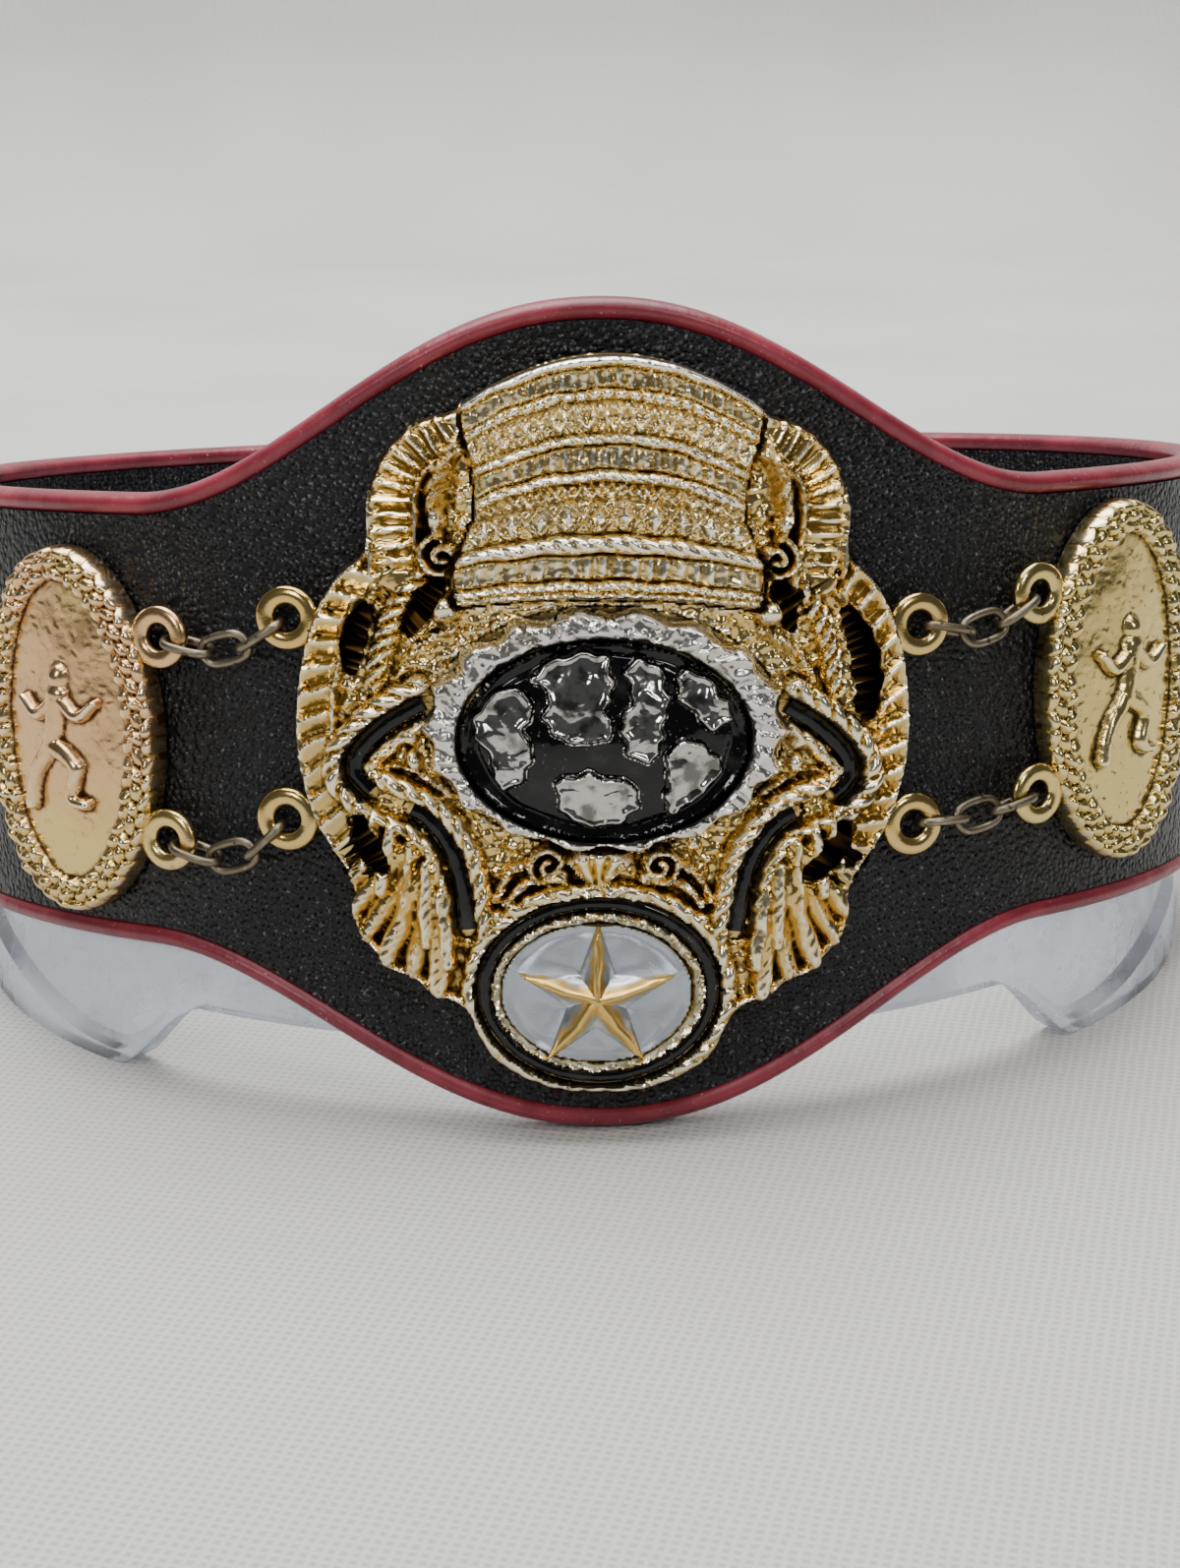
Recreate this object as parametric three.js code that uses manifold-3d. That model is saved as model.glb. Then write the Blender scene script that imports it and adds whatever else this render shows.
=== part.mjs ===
// Miniature championship title belt closed in a loop, standing on a low clear display ring.
// Millimetres, +Z up, the front of the belt faces -Y, the origin is under the middle of the object.
//
// Most pieces are drawn flat first: x runs along the strap from the middle of the front, y is the
// height over the lowest point of the front lobe and z is the distance out from the middle of the
// strap's thickness. The bend then wraps them round the oval loop.
import * as THREE from 'three';
import Module from 'manifold-3d';
import { mergeVertices } from 'three/addons/utils/BufferGeometryUtils.js';

const wasm = await Module();
wasm.setup();

// The loop
const LOOP_HALF_WIDTH = 44;
const LOOP_HALF_DEPTH = 36;
const LOBE_HEIGHT = 50;
const LOBE_REACH = 29.3;
const LOBE_SHARPNESS = 1.08;
const NARROW_HEIGHT = 28.4;
const NARROW_BOTTOM = 0.479 * (LOBE_HEIGHT - NARROW_HEIGHT);
const NARROW_TOP = NARROW_BOTTOM + NARROW_HEIGHT;

// The strap and its edge beads
const STRAP_THICKNESS = 1.8;
const BEAD_PROUD = 0.25;
const BEAD_DEPTH = STRAP_THICKNESS + 2 * BEAD_PROUD;
const BEAD_HEIGHT = 1.5;
const SEAM = 0.12;
const OVERLAP = 14;
const LAP_RISE = 20;
const LAP_LEAD = 1;
const LAP_GAP = 0.35;
const LAP_STEP = BEAD_DEPTH + LAP_GAP;
const STRAP_STEPS = 60;
const SNAP_RADIUS = 3.2;
const SNAP_HEIGHT = 1.4;

// Castings
const STRAP_FACE = STRAP_THICKNESS / 2;
const SEAT_GAP = 0.3;
const PLATE_BACK = STRAP_FACE + SEAT_GAP;
const PLATE_THICKNESS = 0.9;
const PLATE_BASE = PLATE_BACK + PLATE_THICKNESS;
const TOOL_TOP = PLATE_BASE + 4;
const INLAY_GAP = 0.12;
const ROOT = 0.3;
const BEND_STEP = 7;
const OVAL_STEPS = 20;
const PLATE_MARGIN = 3;
const PLATE = { halfWidth: 18, halfHeight: LOBE_HEIGHT / 2 - PLATE_MARGIN };
const PLATE_CENTRE = { x: 0.15, y: 0.496 * LOBE_HEIGHT };
const PLATE_LEAN = THREE.MathUtils.degToRad(2.1);
const RIM = { halfHeight: 0.78 * PLATE.halfHeight, band: 2.1, rise: 0.8, inset: 0.1, from: -34, to: 41 };

// Eyelets and chains
const EYELET = { radius: 1.95, hole: 0.8, thickness: 0.8 };
const LINK = { wire: 0.25, halfLength: 1.575, halfWidth: 0.95, clearance: 0.1, around: 10, wireSides: 5 };
// The chains run through the eyelets' middles, clear of the strap's face.
const CHAIN_GAP = 0.05;
const CHAIN_HEIGHT = STRAP_FACE + CHAIN_GAP + LINK.halfWidth + LINK.wire;
const EYELET_BACK = CHAIN_HEIGHT - EYELET.thickness / 2;
const EYELET_FRONT = CHAIN_HEIGHT + EYELET.thickness / 2;

// Side plates
const SIDE_PLATE = { halfWidth: 7.3, halfHeight: 11.6, thickness: 1.0, border: 0.7, band: 2.1, steps: 24 };
const SIDE_BASE = PLATE_BACK + SIDE_PLATE.thickness;
// Where each side plate hangs: shares of its chains' full length and of the strap's height there.
const SIDE_PLATES = [
  { side: -1, name: 'left', stretch: 0.905, level: 0.477, colour: 0xb9895a },
  { side: 1, name: 'right', stretch: 0.965, level: 0.523, colour: 0xcfae55 },
];
const MAIN_EYELET = { x: PLATE.halfWidth + 0.28 * EYELET.radius, y: 0.277 * PLATE.halfHeight };
// The side plate's eyelets sit against its oval edge, at a share of its height.
const SIDE_EYELET_LEVEL = 0.541;
const SIDE_EYELET = {
  x: SIDE_PLATE.halfWidth * Math.sqrt(1 - SIDE_EYELET_LEVEL ** 2) + 0.87 * EYELET.radius,
  y: SIDE_EYELET_LEVEL * SIDE_PLATE.halfHeight,
};

// The clear ring
const RING_WALL = 1.2;
const RING_GAP = 0.35;
const RING_TOP = 20;
const RING_LIFT = 4.7;
// Where each foot starts, has landed and is highest, in degrees from the loop's front or back end.
const FOOT = {
  start: 37, landed: 47, crest: 78, band: 0.8, lip: 0.3, low: 0.9, high: 4.2, bevel: 0.7, clearance: 0.8,
};
const RING_STEPS = 50;

const GOLD = material('gold', 0xd9b04a, 0.28, 1);
const SILVER = material('silver', 0xb9b7ae, 0.35, 1);
const SATIN = material('satin_silver', 0xaab4be, 0.55, 0.8);
const ENAMEL = material('black_enamel', 0x0b0b10, 0.12, 0);
const LEATHER = material('black_leather', 0x17181c, 0.62, 0);
const PIPING = material('red_piping', 0x6d1420, 0.35, 0);
const CHAIN_METAL = material('antique_chain', 0x6c6152, 0.45, 1);
const CLEAR = new THREE.MeshStandardMaterial({
  name: 'clear_plastic', color: 0xdfe4e6, roughness: 0.1, metalness: 0, transparent: true, opacity: 0.4,
});

function material(name, color, roughness, metalness) {
  return new THREE.MeshStandardMaterial({ name, color, roughness, metalness });
}

// The bell that widens the strap at the front: 1 in the middle, 0 from LOBE_REACH on.
function bell(x) {
  const share = Math.min(Math.abs(x) / LOBE_REACH, 1) ** LOBE_SHARPNESS;
  return (1 + Math.cos(Math.PI * share)) / 2;
}

const edgeTop = (x) => NARROW_TOP + (LOBE_HEIGHT - NARROW_TOP) * bell(x);
const edgeBottom = (x) => NARROW_BOTTOM * (1 - bell(x));

// The oval loop, measured once so that a length along the strap gives an angle.
const loopTable = measureLoop(2000);
const LOOP_LENGTH = loopTable[loopTable.length - 1].length;

function measureLoop(steps) {
  const table = [{ angle: 0, length: 0 }];
  for (let i = 1; i <= steps; i += 1) {
    const middle = ((i - 0.5) / steps) * 2 * Math.PI;
    const speed = Math.hypot(LOOP_HALF_WIDTH * Math.cos(middle), LOOP_HALF_DEPTH * Math.sin(middle));
    const step = (2 * Math.PI) / steps;
    table.push({ angle: i * step, length: table[i - 1].length + speed * step });
  }
  return table;
}

function loopAngle(x) {
  const turns = Math.floor(x / LOOP_LENGTH);
  const rest = x - turns * LOOP_LENGTH;
  let low = 0;
  let high = loopTable.length - 1;
  while (high - low > 1) {
    const half = (low + high) >> 1;
    if (loopTable[half].length > rest) high = half;
    else low = half;
  }
  const a = loopTable[low];
  const b = loopTable[high];
  return turns * 2 * Math.PI + a.angle + ((b.angle - a.angle) * (rest - a.length)) / (b.length - a.length);
}

// From flat (x, y, z) to the place on the loop.
function bendPoint(x, y, z) {
  const angle = loopAngle(x);
  const sin = Math.sin(angle);
  const cos = Math.cos(angle);
  const normal = new THREE.Vector2(LOOP_HALF_DEPTH * sin, -LOOP_HALF_WIDTH * cos).normalize();
  return new THREE.Vector3(
    LOOP_HALF_WIDTH * sin + z * normal.x,
    -LOOP_HALF_DEPTH * cos + z * normal.y,
    y,
  );
}

// Solids as joined meshes
function solid(geometry) {
  const bare = geometry.clone();
  bare.deleteAttribute('normal');
  bare.deleteAttribute('uv');
  const merged = mergeVertices(bare, 1e-5);
  return new wasm.Manifold(new wasm.Mesh({
    numProp: 3,
    vertProperties: new Float32Array(merged.attributes.position.array),
    triVerts: new Uint32Array(merged.index.array),
  }));
}

function union(geometries) {
  return geometries.map(solid).reduce((sum, next) => sum.add(next));
}

function cutOut(body, geometries) {
  return geometries.map(solid).reduce((rest, tool) => rest.subtract(tool), body);
}

function toGeometry(body) {
  const mesh = body.getMesh();
  const geometry = new THREE.BufferGeometry();
  geometry.setAttribute('position', new THREE.BufferAttribute(new Float32Array(mesh.vertProperties), 3));
  geometry.setIndex([...mesh.triVerts]);
  return geometry;
}

function middleOf(ring) {
  const sum = ring.reduce((total, p) => total.add(p), new THREE.Vector3());
  return sum.divideScalar(ring.length).toArray();
}

// Skin over a row of closed rings. The row closes on itself, or each end is capped by a fan of
// faces to its middle, the last one to the apex where there is one.
function loft(rings, closed, apex) {
  const count = rings[0].length;
  const positions = rings.flat().flatMap((p) => [p.x, p.y, p.z]);
  const index = [];
  const last = closed ? rings.length : rings.length - 1;
  for (let i = 0; i < last; i += 1) {
    const a = i * count;
    const b = ((i + 1) % rings.length) * count;
    for (let j = 0; j < count; j += 1) {
      const k = (j + 1) % count;
      index.push(a + j, a + k, b + k, a + j, b + k, b + j);
    }
  }
  if (!closed) {
    const low = positions.length / 3;
    const high = low + 1;
    const end = (rings.length - 1) * count;
    positions.push(...middleOf(rings[0]), ...(apex ? apex.toArray() : middleOf(rings[rings.length - 1])));
    for (let j = 0; j < count; j += 1) {
      const k = (j + 1) % count;
      index.push(low, k, j, high, end + j, end + k);
    }
  }
  const geometry = new THREE.BufferGeometry();
  geometry.setAttribute('position', new THREE.Float32BufferAttribute(positions, 3));
  geometry.setIndex(index);
  return facingOut(geometry);
}

// Turns the faces round where the enclosed volume comes out negative.
function facingOut(geometry) {
  const p = geometry.attributes.position;
  const index = geometry.index.array;
  const a = new THREE.Vector3();
  const b = new THREE.Vector3();
  const c = new THREE.Vector3();
  let volume = 0;
  for (let i = 0; i < index.length; i += 3) {
    a.fromBufferAttribute(p, index[i]);
    b.fromBufferAttribute(p, index[i + 1]);
    c.fromBufferAttribute(p, index[i + 2]);
    volume += a.dot(b.cross(c));
  }
  if (volume < 0) {
    for (let i = 0; i < index.length; i += 3) {
      [index[i], index[i + 1]] = [index[i + 1], index[i]];
    }
  }
  return geometry;
}

// Adds a vertex wherever an edge crosses x = at, so that the bend follows the loop.
function splitAt(geometry, at) {
  const points = geometry.attributes.position.array;
  const positions = Array.from(points);
  const crossings = new Map();
  const index = [];
  const side = (v) => Math.sign(Math.round((positions[3 * v] - at) * 1e4));
  const crossing = (v, w) => {
    const key = v < w ? `${v} ${w}` : `${w} ${v}`;
    if (!crossings.has(key)) {
      const [low, high] = v < w ? [v, w] : [w, v];
      const share = (at - positions[3 * low]) / (positions[3 * high] - positions[3 * low]);
      for (let k = 0; k < 3; k += 1) {
        positions.push(positions[3 * low + k] + share * (positions[3 * high + k] - positions[3 * low + k]));
      }
      crossings.set(key, positions.length / 3 - 1);
    }
    return crossings.get(key);
  };
  for (let i = 0; i < geometry.index.count; i += 3) {
    const corners = [0, 1, 2].map((k) => geometry.index.array[i + k]);
    const outline = [];
    corners.forEach((v, k) => {
      const w = corners[(k + 1) % 3];
      outline.push(v);
      if (side(v) * side(w) < 0) outline.push(crossing(v, w));
    });
    for (const half of [-1, 1]) {
      const piece = outline.filter((v) => side(v) !== -half || side(v) === 0);
      if (piece.length < 3 || piece.every((v) => side(v) !== half)) continue;
      for (let k = 1; k < piece.length - 1; k += 1) index.push(piece[0], piece[k], piece[k + 1]);
    }
    if (outline.every((v) => side(v) === 0)) index.push(...corners);
  }
  const split = new THREE.BufferGeometry();
  split.setAttribute('position', new THREE.Float32BufferAttribute(positions, 3));
  split.setIndex(index);
  return split;
}

// Wraps a flat piece round the loop, with its long faces split so that they follow it.
function bend(geometry) {
  let piece = geometry;
  piece.computeBoundingBox();
  const { min, max } = piece.boundingBox;
  for (let at = Math.ceil(min.x / BEND_STEP) * BEND_STEP; at < max.x; at += BEND_STEP) {
    piece = splitAt(piece, at);
  }
  return wrap(piece);
}

// Moves a piece whose faces are already short round the loop.
function wrap(piece) {
  const p = piece.attributes.position;
  for (let i = 0; i < p.count; i += 1) {
    const place = bendPoint(p.getX(i), p.getY(i), p.getZ(i));
    p.setXYZ(i, place.x, place.y, place.z);
  }
  return piece;
}

// Flat shapes
function ovalPoints(halfWidth, halfHeight, steps, centre = { x: 0, y: 0 }) {
  return Array.from({ length: steps }, (_, i) => {
    const angle = (i / steps) * 2 * Math.PI;
    return new THREE.Vector2(centre.x + halfWidth * Math.cos(angle), centre.y + halfHeight * Math.sin(angle));
  });
}

function slab(points, back, front, holes = []) {
  const shape = new THREE.Shape(points);
  shape.holes = holes.map((hole) => new THREE.Path(hole));
  const geometry = new THREE.ExtrudeGeometry(shape, { depth: front - back, bevelEnabled: false });
  return geometry.translate(0, 0, back);
}

function plain(geometry) {
  const bare = geometry.clone();
  bare.deleteAttribute('normal');
  bare.deleteAttribute('uv');
  return bare;
}

// A smooth line through a few points, given as shares of the main plate's half width and height.
function smooth(points, steps, closed = false) {
  const places = points.map(platePoint).map((p) => new THREE.Vector3(p.x, p.y, 0));
  const curve = new THREE.CatmullRomCurve3(places, closed, 'centripetal');
  const line = curve.getSpacedPoints(steps);
  return closed ? line.slice(0, -1) : line;
}

// A raised cord or band laid along a line: width across at the back, narrower at the front.
function ridge(line, width, back, front, closed = false) {
  const half = width / 2;
  const rise = front - back;
  const section = [[-half, 0], [-0.6 * half, rise], [0.6 * half, rise], [half, 0]];
  const rings = line.map((point, i) => {
    const before = line[closed ? (i - 1 + line.length) % line.length : Math.max(i - 1, 0)];
    const after = line[closed ? (i + 1) % line.length : Math.min(i + 1, line.length - 1)];
    const along = new THREE.Vector2(after.x - before.x, after.y - before.y).normalize();
    return section.map(([across, up]) => new THREE.Vector3(
      point.x - along.y * across,
      point.y + along.x * across,
      back + up,
    ));
  });
  return loft(rings, closed);
}

function eyeletRing(x, y) {
  return slab(ovalPoints(EYELET.radius, EYELET.radius, 12, { x, y }), EYELET_BACK, EYELET_FRONT);
}

function eyeletHole(x, y) {
  return slab(ovalPoints(EYELET.hole, EYELET.hole, 8, { x, y }), 0, TOOL_TOP);
}

// A block with a flat back and a modelled front, over a grid of columns and rows.
function relief(columns, rows, place, back) {
  const positions = [];
  const index = [];
  const across = columns + 1;
  const layer = across * (rows + 1);
  for (const isBack of [false, true]) {
    for (let r = 0; r <= rows; r += 1) {
      for (let c = 0; c <= columns; c += 1) {
        const point = place(c, r);
        positions.push(point.x, point.y, isBack ? back : point.z);
      }
    }
  }
  const wall = (v, w) => index.push(v, w, w + layer, v, w + layer, v + layer);
  for (let r = 0; r < rows; r += 1) {
    for (let c = 0; c < columns; c += 1) {
      const v = r * across + c;
      index.push(v, v + across, v + across + 1, v, v + across + 1, v + 1);
      const w = v + layer;
      index.push(w, w + across + 1, w + across, w, w + 1, w + across + 1);
    }
    wall((r + 1) * across, r * across);
    wall(r * across + columns, (r + 1) * across + columns);
  }
  for (let c = 0; c < columns; c += 1) {
    wall(c, c + 1);
    wall(rows * across + c + 1, rows * across + c);
  }
  const geometry = new THREE.BufferGeometry();
  geometry.setAttribute('position', new THREE.Float32BufferAttribute(positions, 3));
  geometry.setIndex(index);
  return facingOut(geometry);
}

// A line moved sideways in the plate's plane.
function beside(line, distance) {
  return line.map((point, i) => {
    const before = line[Math.max(i - 1, 0)];
    const after = line[Math.min(i + 1, line.length - 1)];
    const along = new THREE.Vector2(after.x - before.x, after.y - before.y).normalize();
    return new THREE.Vector3(point.x - along.y * distance, point.y + along.x * distance, 0);
  });
}

const flipped = (line) => line.map((p) => new THREE.Vector3(-p.x, p.y, 0));

// A piece drawn on the main plate, turned by the plate's lean and wrapped round the loop.
function onPlate(geometry, wrapper = bend) {
  return wrapper(plain(geometry).rotateZ(-PLATE_LEAN).translate(PLATE_CENTRE.x, PLATE_CENTRE.y, 0));
}

function mesh(name, geometry, look) {
  const made = new THREE.Mesh(geometry, look);
  made.name = name;
  return made;
}

// The strap
function lapOffset(x) {
  const start = LOOP_LENGTH / 2 - LAP_RISE;
  return LAP_STEP * THREE.MathUtils.smoothstep(x, start, LOOP_LENGTH / 2 - LAP_LEAD);
}

function strapStations() {
  const start = -LOOP_LENGTH / 2;
  const length = LOOP_LENGTH + OVERLAP;
  return Array.from({ length: STRAP_STEPS + 1 }, (_, i) => start + (i * length) / STRAP_STEPS);
}

// How far an edge is inset upright when it is inset by a distance across a sloping edge.
function upright(edge, x, distance) {
  const around = 0.5;
  const slope = (edge(x + around) - edge(x - around)) / (2 * around);
  return distance * Math.hypot(1, slope);
}

function strap() {
  const half = STRAP_THICKNESS / 2;
  const inset = BEAD_HEIGHT + SEAM;
  const rings = strapStations().map((x) => {
    const low = edgeBottom(x) + upright(edgeBottom, x, inset);
    const high = edgeTop(x) - upright(edgeTop, x, inset);
    const section = [[low, -half], [low, half], [high, half], [high, -half]];
    return section.map(([y, z]) => bendPoint(x, y, z + lapOffset(x)));
  });
  return mesh('strap', loft(rings, false), LEATHER);
}

// The bead's section: share of its height in from the edge, share of its half depth.
const BEAD_SECTION = [
  { inward: 0, out: -0.5 }, { inward: 0, out: 0.5 }, { inward: 0.45, out: 1 },
  { inward: 1, out: 0.85 }, { inward: 1, out: -0.85 }, { inward: 0.45, out: -1 },
];

function piping(name, edge, inwardSign) {
  const rings = strapStations().map((x) => BEAD_SECTION.map(({ inward, out }) => bendPoint(
    x,
    edge(x) + inwardSign * upright(edge, x, inward * BEAD_HEIGHT),
    (out * BEAD_DEPTH) / 2 + lapOffset(x),
  )));
  return mesh(name, loft(rings, false), PIPING);
}

function snap(name, share) {
  const y = THREE.MathUtils.lerp(NARROW_BOTTOM, NARROW_TOP, share);
  const seat = LAP_STEP + PLATE_BACK;
  const profile = [[0, 0], [1, 0], [1, 0.4], [0.75, 0.8], [0, 1]];
  const points = profile.map(([out, up]) => new THREE.Vector2(out * SNAP_RADIUS, up * SNAP_HEIGHT));
  const cap = new THREE.LatheGeometry(points, 12).rotateX(Math.PI / 2);
  return mesh(name, bend(merged(cap.translate(LOOP_LENGTH / 2 + OVERLAP / 2, y, seat))), GOLD);
}

function merged(geometry) {
  return facingOut(mergeVertices(plain(geometry), 1e-5));
}

// The main plate, drawn about its own middle
const OUTLINE_RIGHT = [
  [0, 1], [0.167, 0.982], [0.328, 0.932], [0.467, 0.864], [0.483, 0.845], [0.611, 0.809],
  [0.711, 0.723], [0.761, 0.6], [0.767, 0.482], [0.872, 0.391], [0.956, 0.245], [0.994, 0.073],
  [0.994, -0.082], [0.956, -0.218], [0.906, -0.309], [0.811, -0.427], [0.806, -0.5], [0.789, -0.573],
  [0.739, -0.623], [0.678, -0.677], [0.6, -0.7], [0.544, -0.741], [0.439, -0.777], [0.35, -0.909],
  [0.178, -0.986], [0, -1],
];
const CROWN_BACK = PLATE_BASE + INLAY_GAP;
// The crown's bands from the top: height and half width as shares of the plate's, rise as a share.
const CROWN_ROWS = [
  { y: 0.995, half: 0.467, rise: 0.38 }, { y: 0.964, half: 0.467, rise: 0.71 },
  { y: 0.9, half: 0.456, rise: 0.81 }, { y: 0.882, half: 0.45, rise: 0.62 },
  { y: 0.864, half: 0.444, rise: 0.86 }, { y: 0.795, half: 0.428, rise: 0.86 },
  { y: 0.777, half: 0.428, rise: 0.62 }, { y: 0.764, half: 0.422, rise: 0.81 },
  { y: 0.695, half: 0.417, rise: 0.81 }, { y: 0.677, half: 0.417, rise: 0.95 },
  { y: 0.632, half: 0.417, rise: 0.95 }, { y: 0.614, half: 0.428, rise: 0.71 },
  { y: 0.527, half: 0.461, rise: 0.76 }, { y: 0.509, half: 0.472, rise: 0.95 },
  { y: 0.477, half: 0.483, rise: 0.95 }, { y: 0.464, half: 0.489, rise: 0.71 },
  { y: 0.405, half: 0.483, rise: 0.76 }, { y: 0.382, half: 0.478, rise: 1 },
  { y: 0.359, half: 0.467, rise: 1 },
];
const CROWN = { rise: 2.1, drop: 0.136, level: 0.18, flank: 0.3, columns: 6 };
const GLOBE = {
  outer: onPlateShares({ x: 0, y: 0.005, halfWidth: 0.567, halfHeight: 0.325 }),
  inner: onPlateShares({ x: -0.006, y: -0.023, halfWidth: 0.45, halfHeight: 0.268 }),
  rise: 1.9,
  scallops: 18,
  wave: 0.03,
  // The frame's section: share of the way out, share of the rise.
  section: [[0, 0.75], [0.3, 1], [0.7, 0.9], [1, 0.4]],
};
const MEDALLION = {
  outerRope: { ...onPlateShares({ x: -0.006, y: -0.709, halfWidth: 0.411, halfHeight: 0.28 }), width: 1.0 },
  enamel: { ...onPlateShares({ x: -0.008, y: -0.716, halfWidth: 0.367, halfHeight: 0.243 }), width: 0.5 },
  innerRope: { ...onPlateShares({ x: -0.011, y: -0.72, halfWidth: 0.331, halfHeight: 0.214 }), width: 0.65 },
  field: onPlateShares({ x: -0.014, y: -0.723, halfWidth: 0.306, halfHeight: 0.193 }),
};
const STAR = {
  x: MEDALLION.field.x,
  y: MEDALLION.field.y - 0.05 * MEDALLION.field.halfHeight,
  radius: 1.01 * MEDALLION.field.halfHeight,
  notch: 0.41,
  rise: 1.15,
  points: 5,
};
const ROPE = { width: 1.1, rise: 1.1, steps: 8 };
const CHANNEL = { width: 0.65, seam: 0.18, rise: 0.35 };
const SIDE_ROPE = smooth(
  [[0.594, 0.114], [0.744, 0.032], [0.844, -0.064], [0.856, -0.155], [0.778, -0.227]],
  ROPE.steps,
);
const LOWER_ROPE = smooth(
  [[0.689, -0.15], [0.533, -0.209], [0.433, -0.309], [0.389, -0.427], [0.367, -0.564]],
  ROPE.steps,
);
const RIBBON = {
  line: smooth([[0.494, 0.8], [0.6, 0.745], [0.667, 0.664], [0.678, 0.555], [0.661, 0.418]], 6),
  width: 3,
  rise: 1.2,
};
const FEATHERS = [
  { root: [0.711, -0.327], tip: [0.811, -0.545] },
  { root: [0.639, -0.336], tip: [0.733, -0.632] },
  { root: [0.572, -0.364], tip: [0.622, -0.7] },
  { root: [0.528, -0.436], tip: [0.511, -0.75] },
];
// Share along the blade and half its width there as a share.
const FEATHER = { width: 2.1, rise: 0.8, blade: [[0, 0.25], [0.55, 0.5], [1, 0.05]], fall: 0.3 };
// The slots that are cut through: two ends, and width and bow as shares of the widest slot.
const SLOT_WIDTH = 1.1;
const SLOTS = [
  { from: [-0.761, 0.327], to: [-0.811, 0.136], width: 0.73, bow: -0.27 },
  { from: [0.761, 0.327], to: [0.85, 0.027], width: 1, bow: 0.55 },
  { from: [-0.528, 0.391], to: [-0.633, 0.255], width: 0.73, bow: 0 },
  { from: [0.539, 0.395], to: [0.583, 0.273], width: 0.55, bow: 0 },
  { from: [-0.783, -0.255], to: [-0.683, -0.391], width: 0.82, bow: -0.18 },
  { from: [0.789, -0.268], to: [0.644, -0.405], width: 0.82, bow: 0.18 },
];
const SHELL = {
  x: -0.017, y: -0.441, reach: 0.111, notch: 0.9, halfFoot: 0.039, rise: 1.6, lobes: 5, open: 110,
};
const SCROLL = {
  line: [[0.15, -0.377], [0.183, -0.35], [0.233, -0.377], [0.3, -0.445]],
  width: 1.1,
  rise: 1.2,
};

// An oval given as shares of the plate's half width and half height.
function onPlateShares({ x, y, halfWidth, halfHeight }) {
  return {
    x: x * PLATE.halfWidth,
    y: y * PLATE.halfHeight,
    halfWidth: halfWidth * PLATE.halfWidth,
    halfHeight: halfHeight * PLATE.halfHeight,
  };
}

function platePoint([x, y]) {
  return new THREE.Vector2(x * PLATE.halfWidth, y * PLATE.halfHeight);
}

function plateOutline() {
  const right = OUTLINE_RIGHT.map(platePoint);
  const left = right.slice(1, -1).reverse().map((p) => new THREE.Vector2(-p.x, p.y));
  return [...right, ...left];
}

function slot({ from, to, width, bow }) {
  const start = platePoint(from);
  const end = platePoint(to);
  const along = end.clone().sub(start);
  const across = new THREE.Vector2(-along.y, along.x).normalize();
  const at = (share, side) => start.clone().addScaledVector(along, share)
    .addScaledVector(across, SLOT_WIDTH * ((side * width) / 2 + bow * Math.sin(Math.PI * share)));
  const swell = (share) => Math.sqrt(Math.sin(Math.PI * share));
  const shares = [0.2, 0.5, 0.8];
  const there = shares.map((share) => at(share, -swell(share)));
  const back = shares.map((share) => at(share, swell(share))).reverse();
  const points = [start, ...there, end, ...back];
  return slab(points, 0, TOOL_TOP);
}

function ovalLine({ x, y, halfWidth, halfHeight }) {
  return ovalPoints(halfWidth, halfHeight, OVAL_STEPS, { x, y }).map((p) => new THREE.Vector3(p.x, p.y, 0));
}

function rimArc(side) {
  const half = RIM.band / 2;
  const from = THREE.MathUtils.degToRad(RIM.from);
  const to = THREE.MathUtils.degToRad(RIM.to);
  const steps = 8;
  return Array.from({ length: steps + 1 }, (_, i) => {
    const angle = from + ((to - from) * i) / steps;
    return new THREE.Vector3(
      side * (PLATE.halfWidth - half - RIM.inset) * Math.cos(angle),
      (RIM.halfHeight - half - RIM.inset) * Math.sin(angle),
      0,
    );
  });
}

function feather({ root, tip }, side) {
  const start = platePoint([side * root[0], root[1]]);
  const end = platePoint([side * tip[0], tip[1]]);
  const along = end.clone().sub(start);
  const across = new THREE.Vector2(-along.y, along.x).normalize();
  const rings = FEATHER.blade.map(([share, half]) => {
    const middle = start.clone().addScaledVector(along, share);
    const edge = (sign) => middle.clone().addScaledVector(across, sign * half * FEATHER.width);
    const low = PLATE_BASE - ROOT;
    return [
      new THREE.Vector3(edge(-1).x, edge(-1).y, low),
      new THREE.Vector3(middle.x, middle.y, PLATE_BASE + FEATHER.rise * (1 - FEATHER.fall * share)),
      new THREE.Vector3(edge(1).x, edge(1).y, low),
    ];
  });
  return loft(rings, false);
}

function shell() {
  const { lobes, open, notch } = SHELL;
  const foot = platePoint([SHELL.x, SHELL.y]);
  const halfFoot = SHELL.halfFoot * PLATE.halfWidth;
  const points = [new THREE.Vector2(foot.x + halfFoot, foot.y), new THREE.Vector2(foot.x - halfFoot, foot.y)];
  for (let i = 0; i <= 2 * lobes; i += 1) {
    const angle = THREE.MathUtils.degToRad(90 + open / 2 - (open * i) / (2 * lobes));
    const reach = SHELL.reach * PLATE.halfHeight * (i % 2 ? 1 : notch);
    points.push(new THREE.Vector2(foot.x + reach * Math.cos(angle), foot.y + reach * Math.sin(angle)));
  }
  return slab(points.reverse(), PLATE_BASE - ROOT, PLATE_BASE + SHELL.rise);
}

function scroll(side) {
  const line = smooth(SCROLL.line.map(([x, y]) => [side * x, y]), 6);
  return ridge(line, SCROLL.width, PLATE_BASE - ROOT, PLATE_BASE + SCROLL.rise);
}

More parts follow.
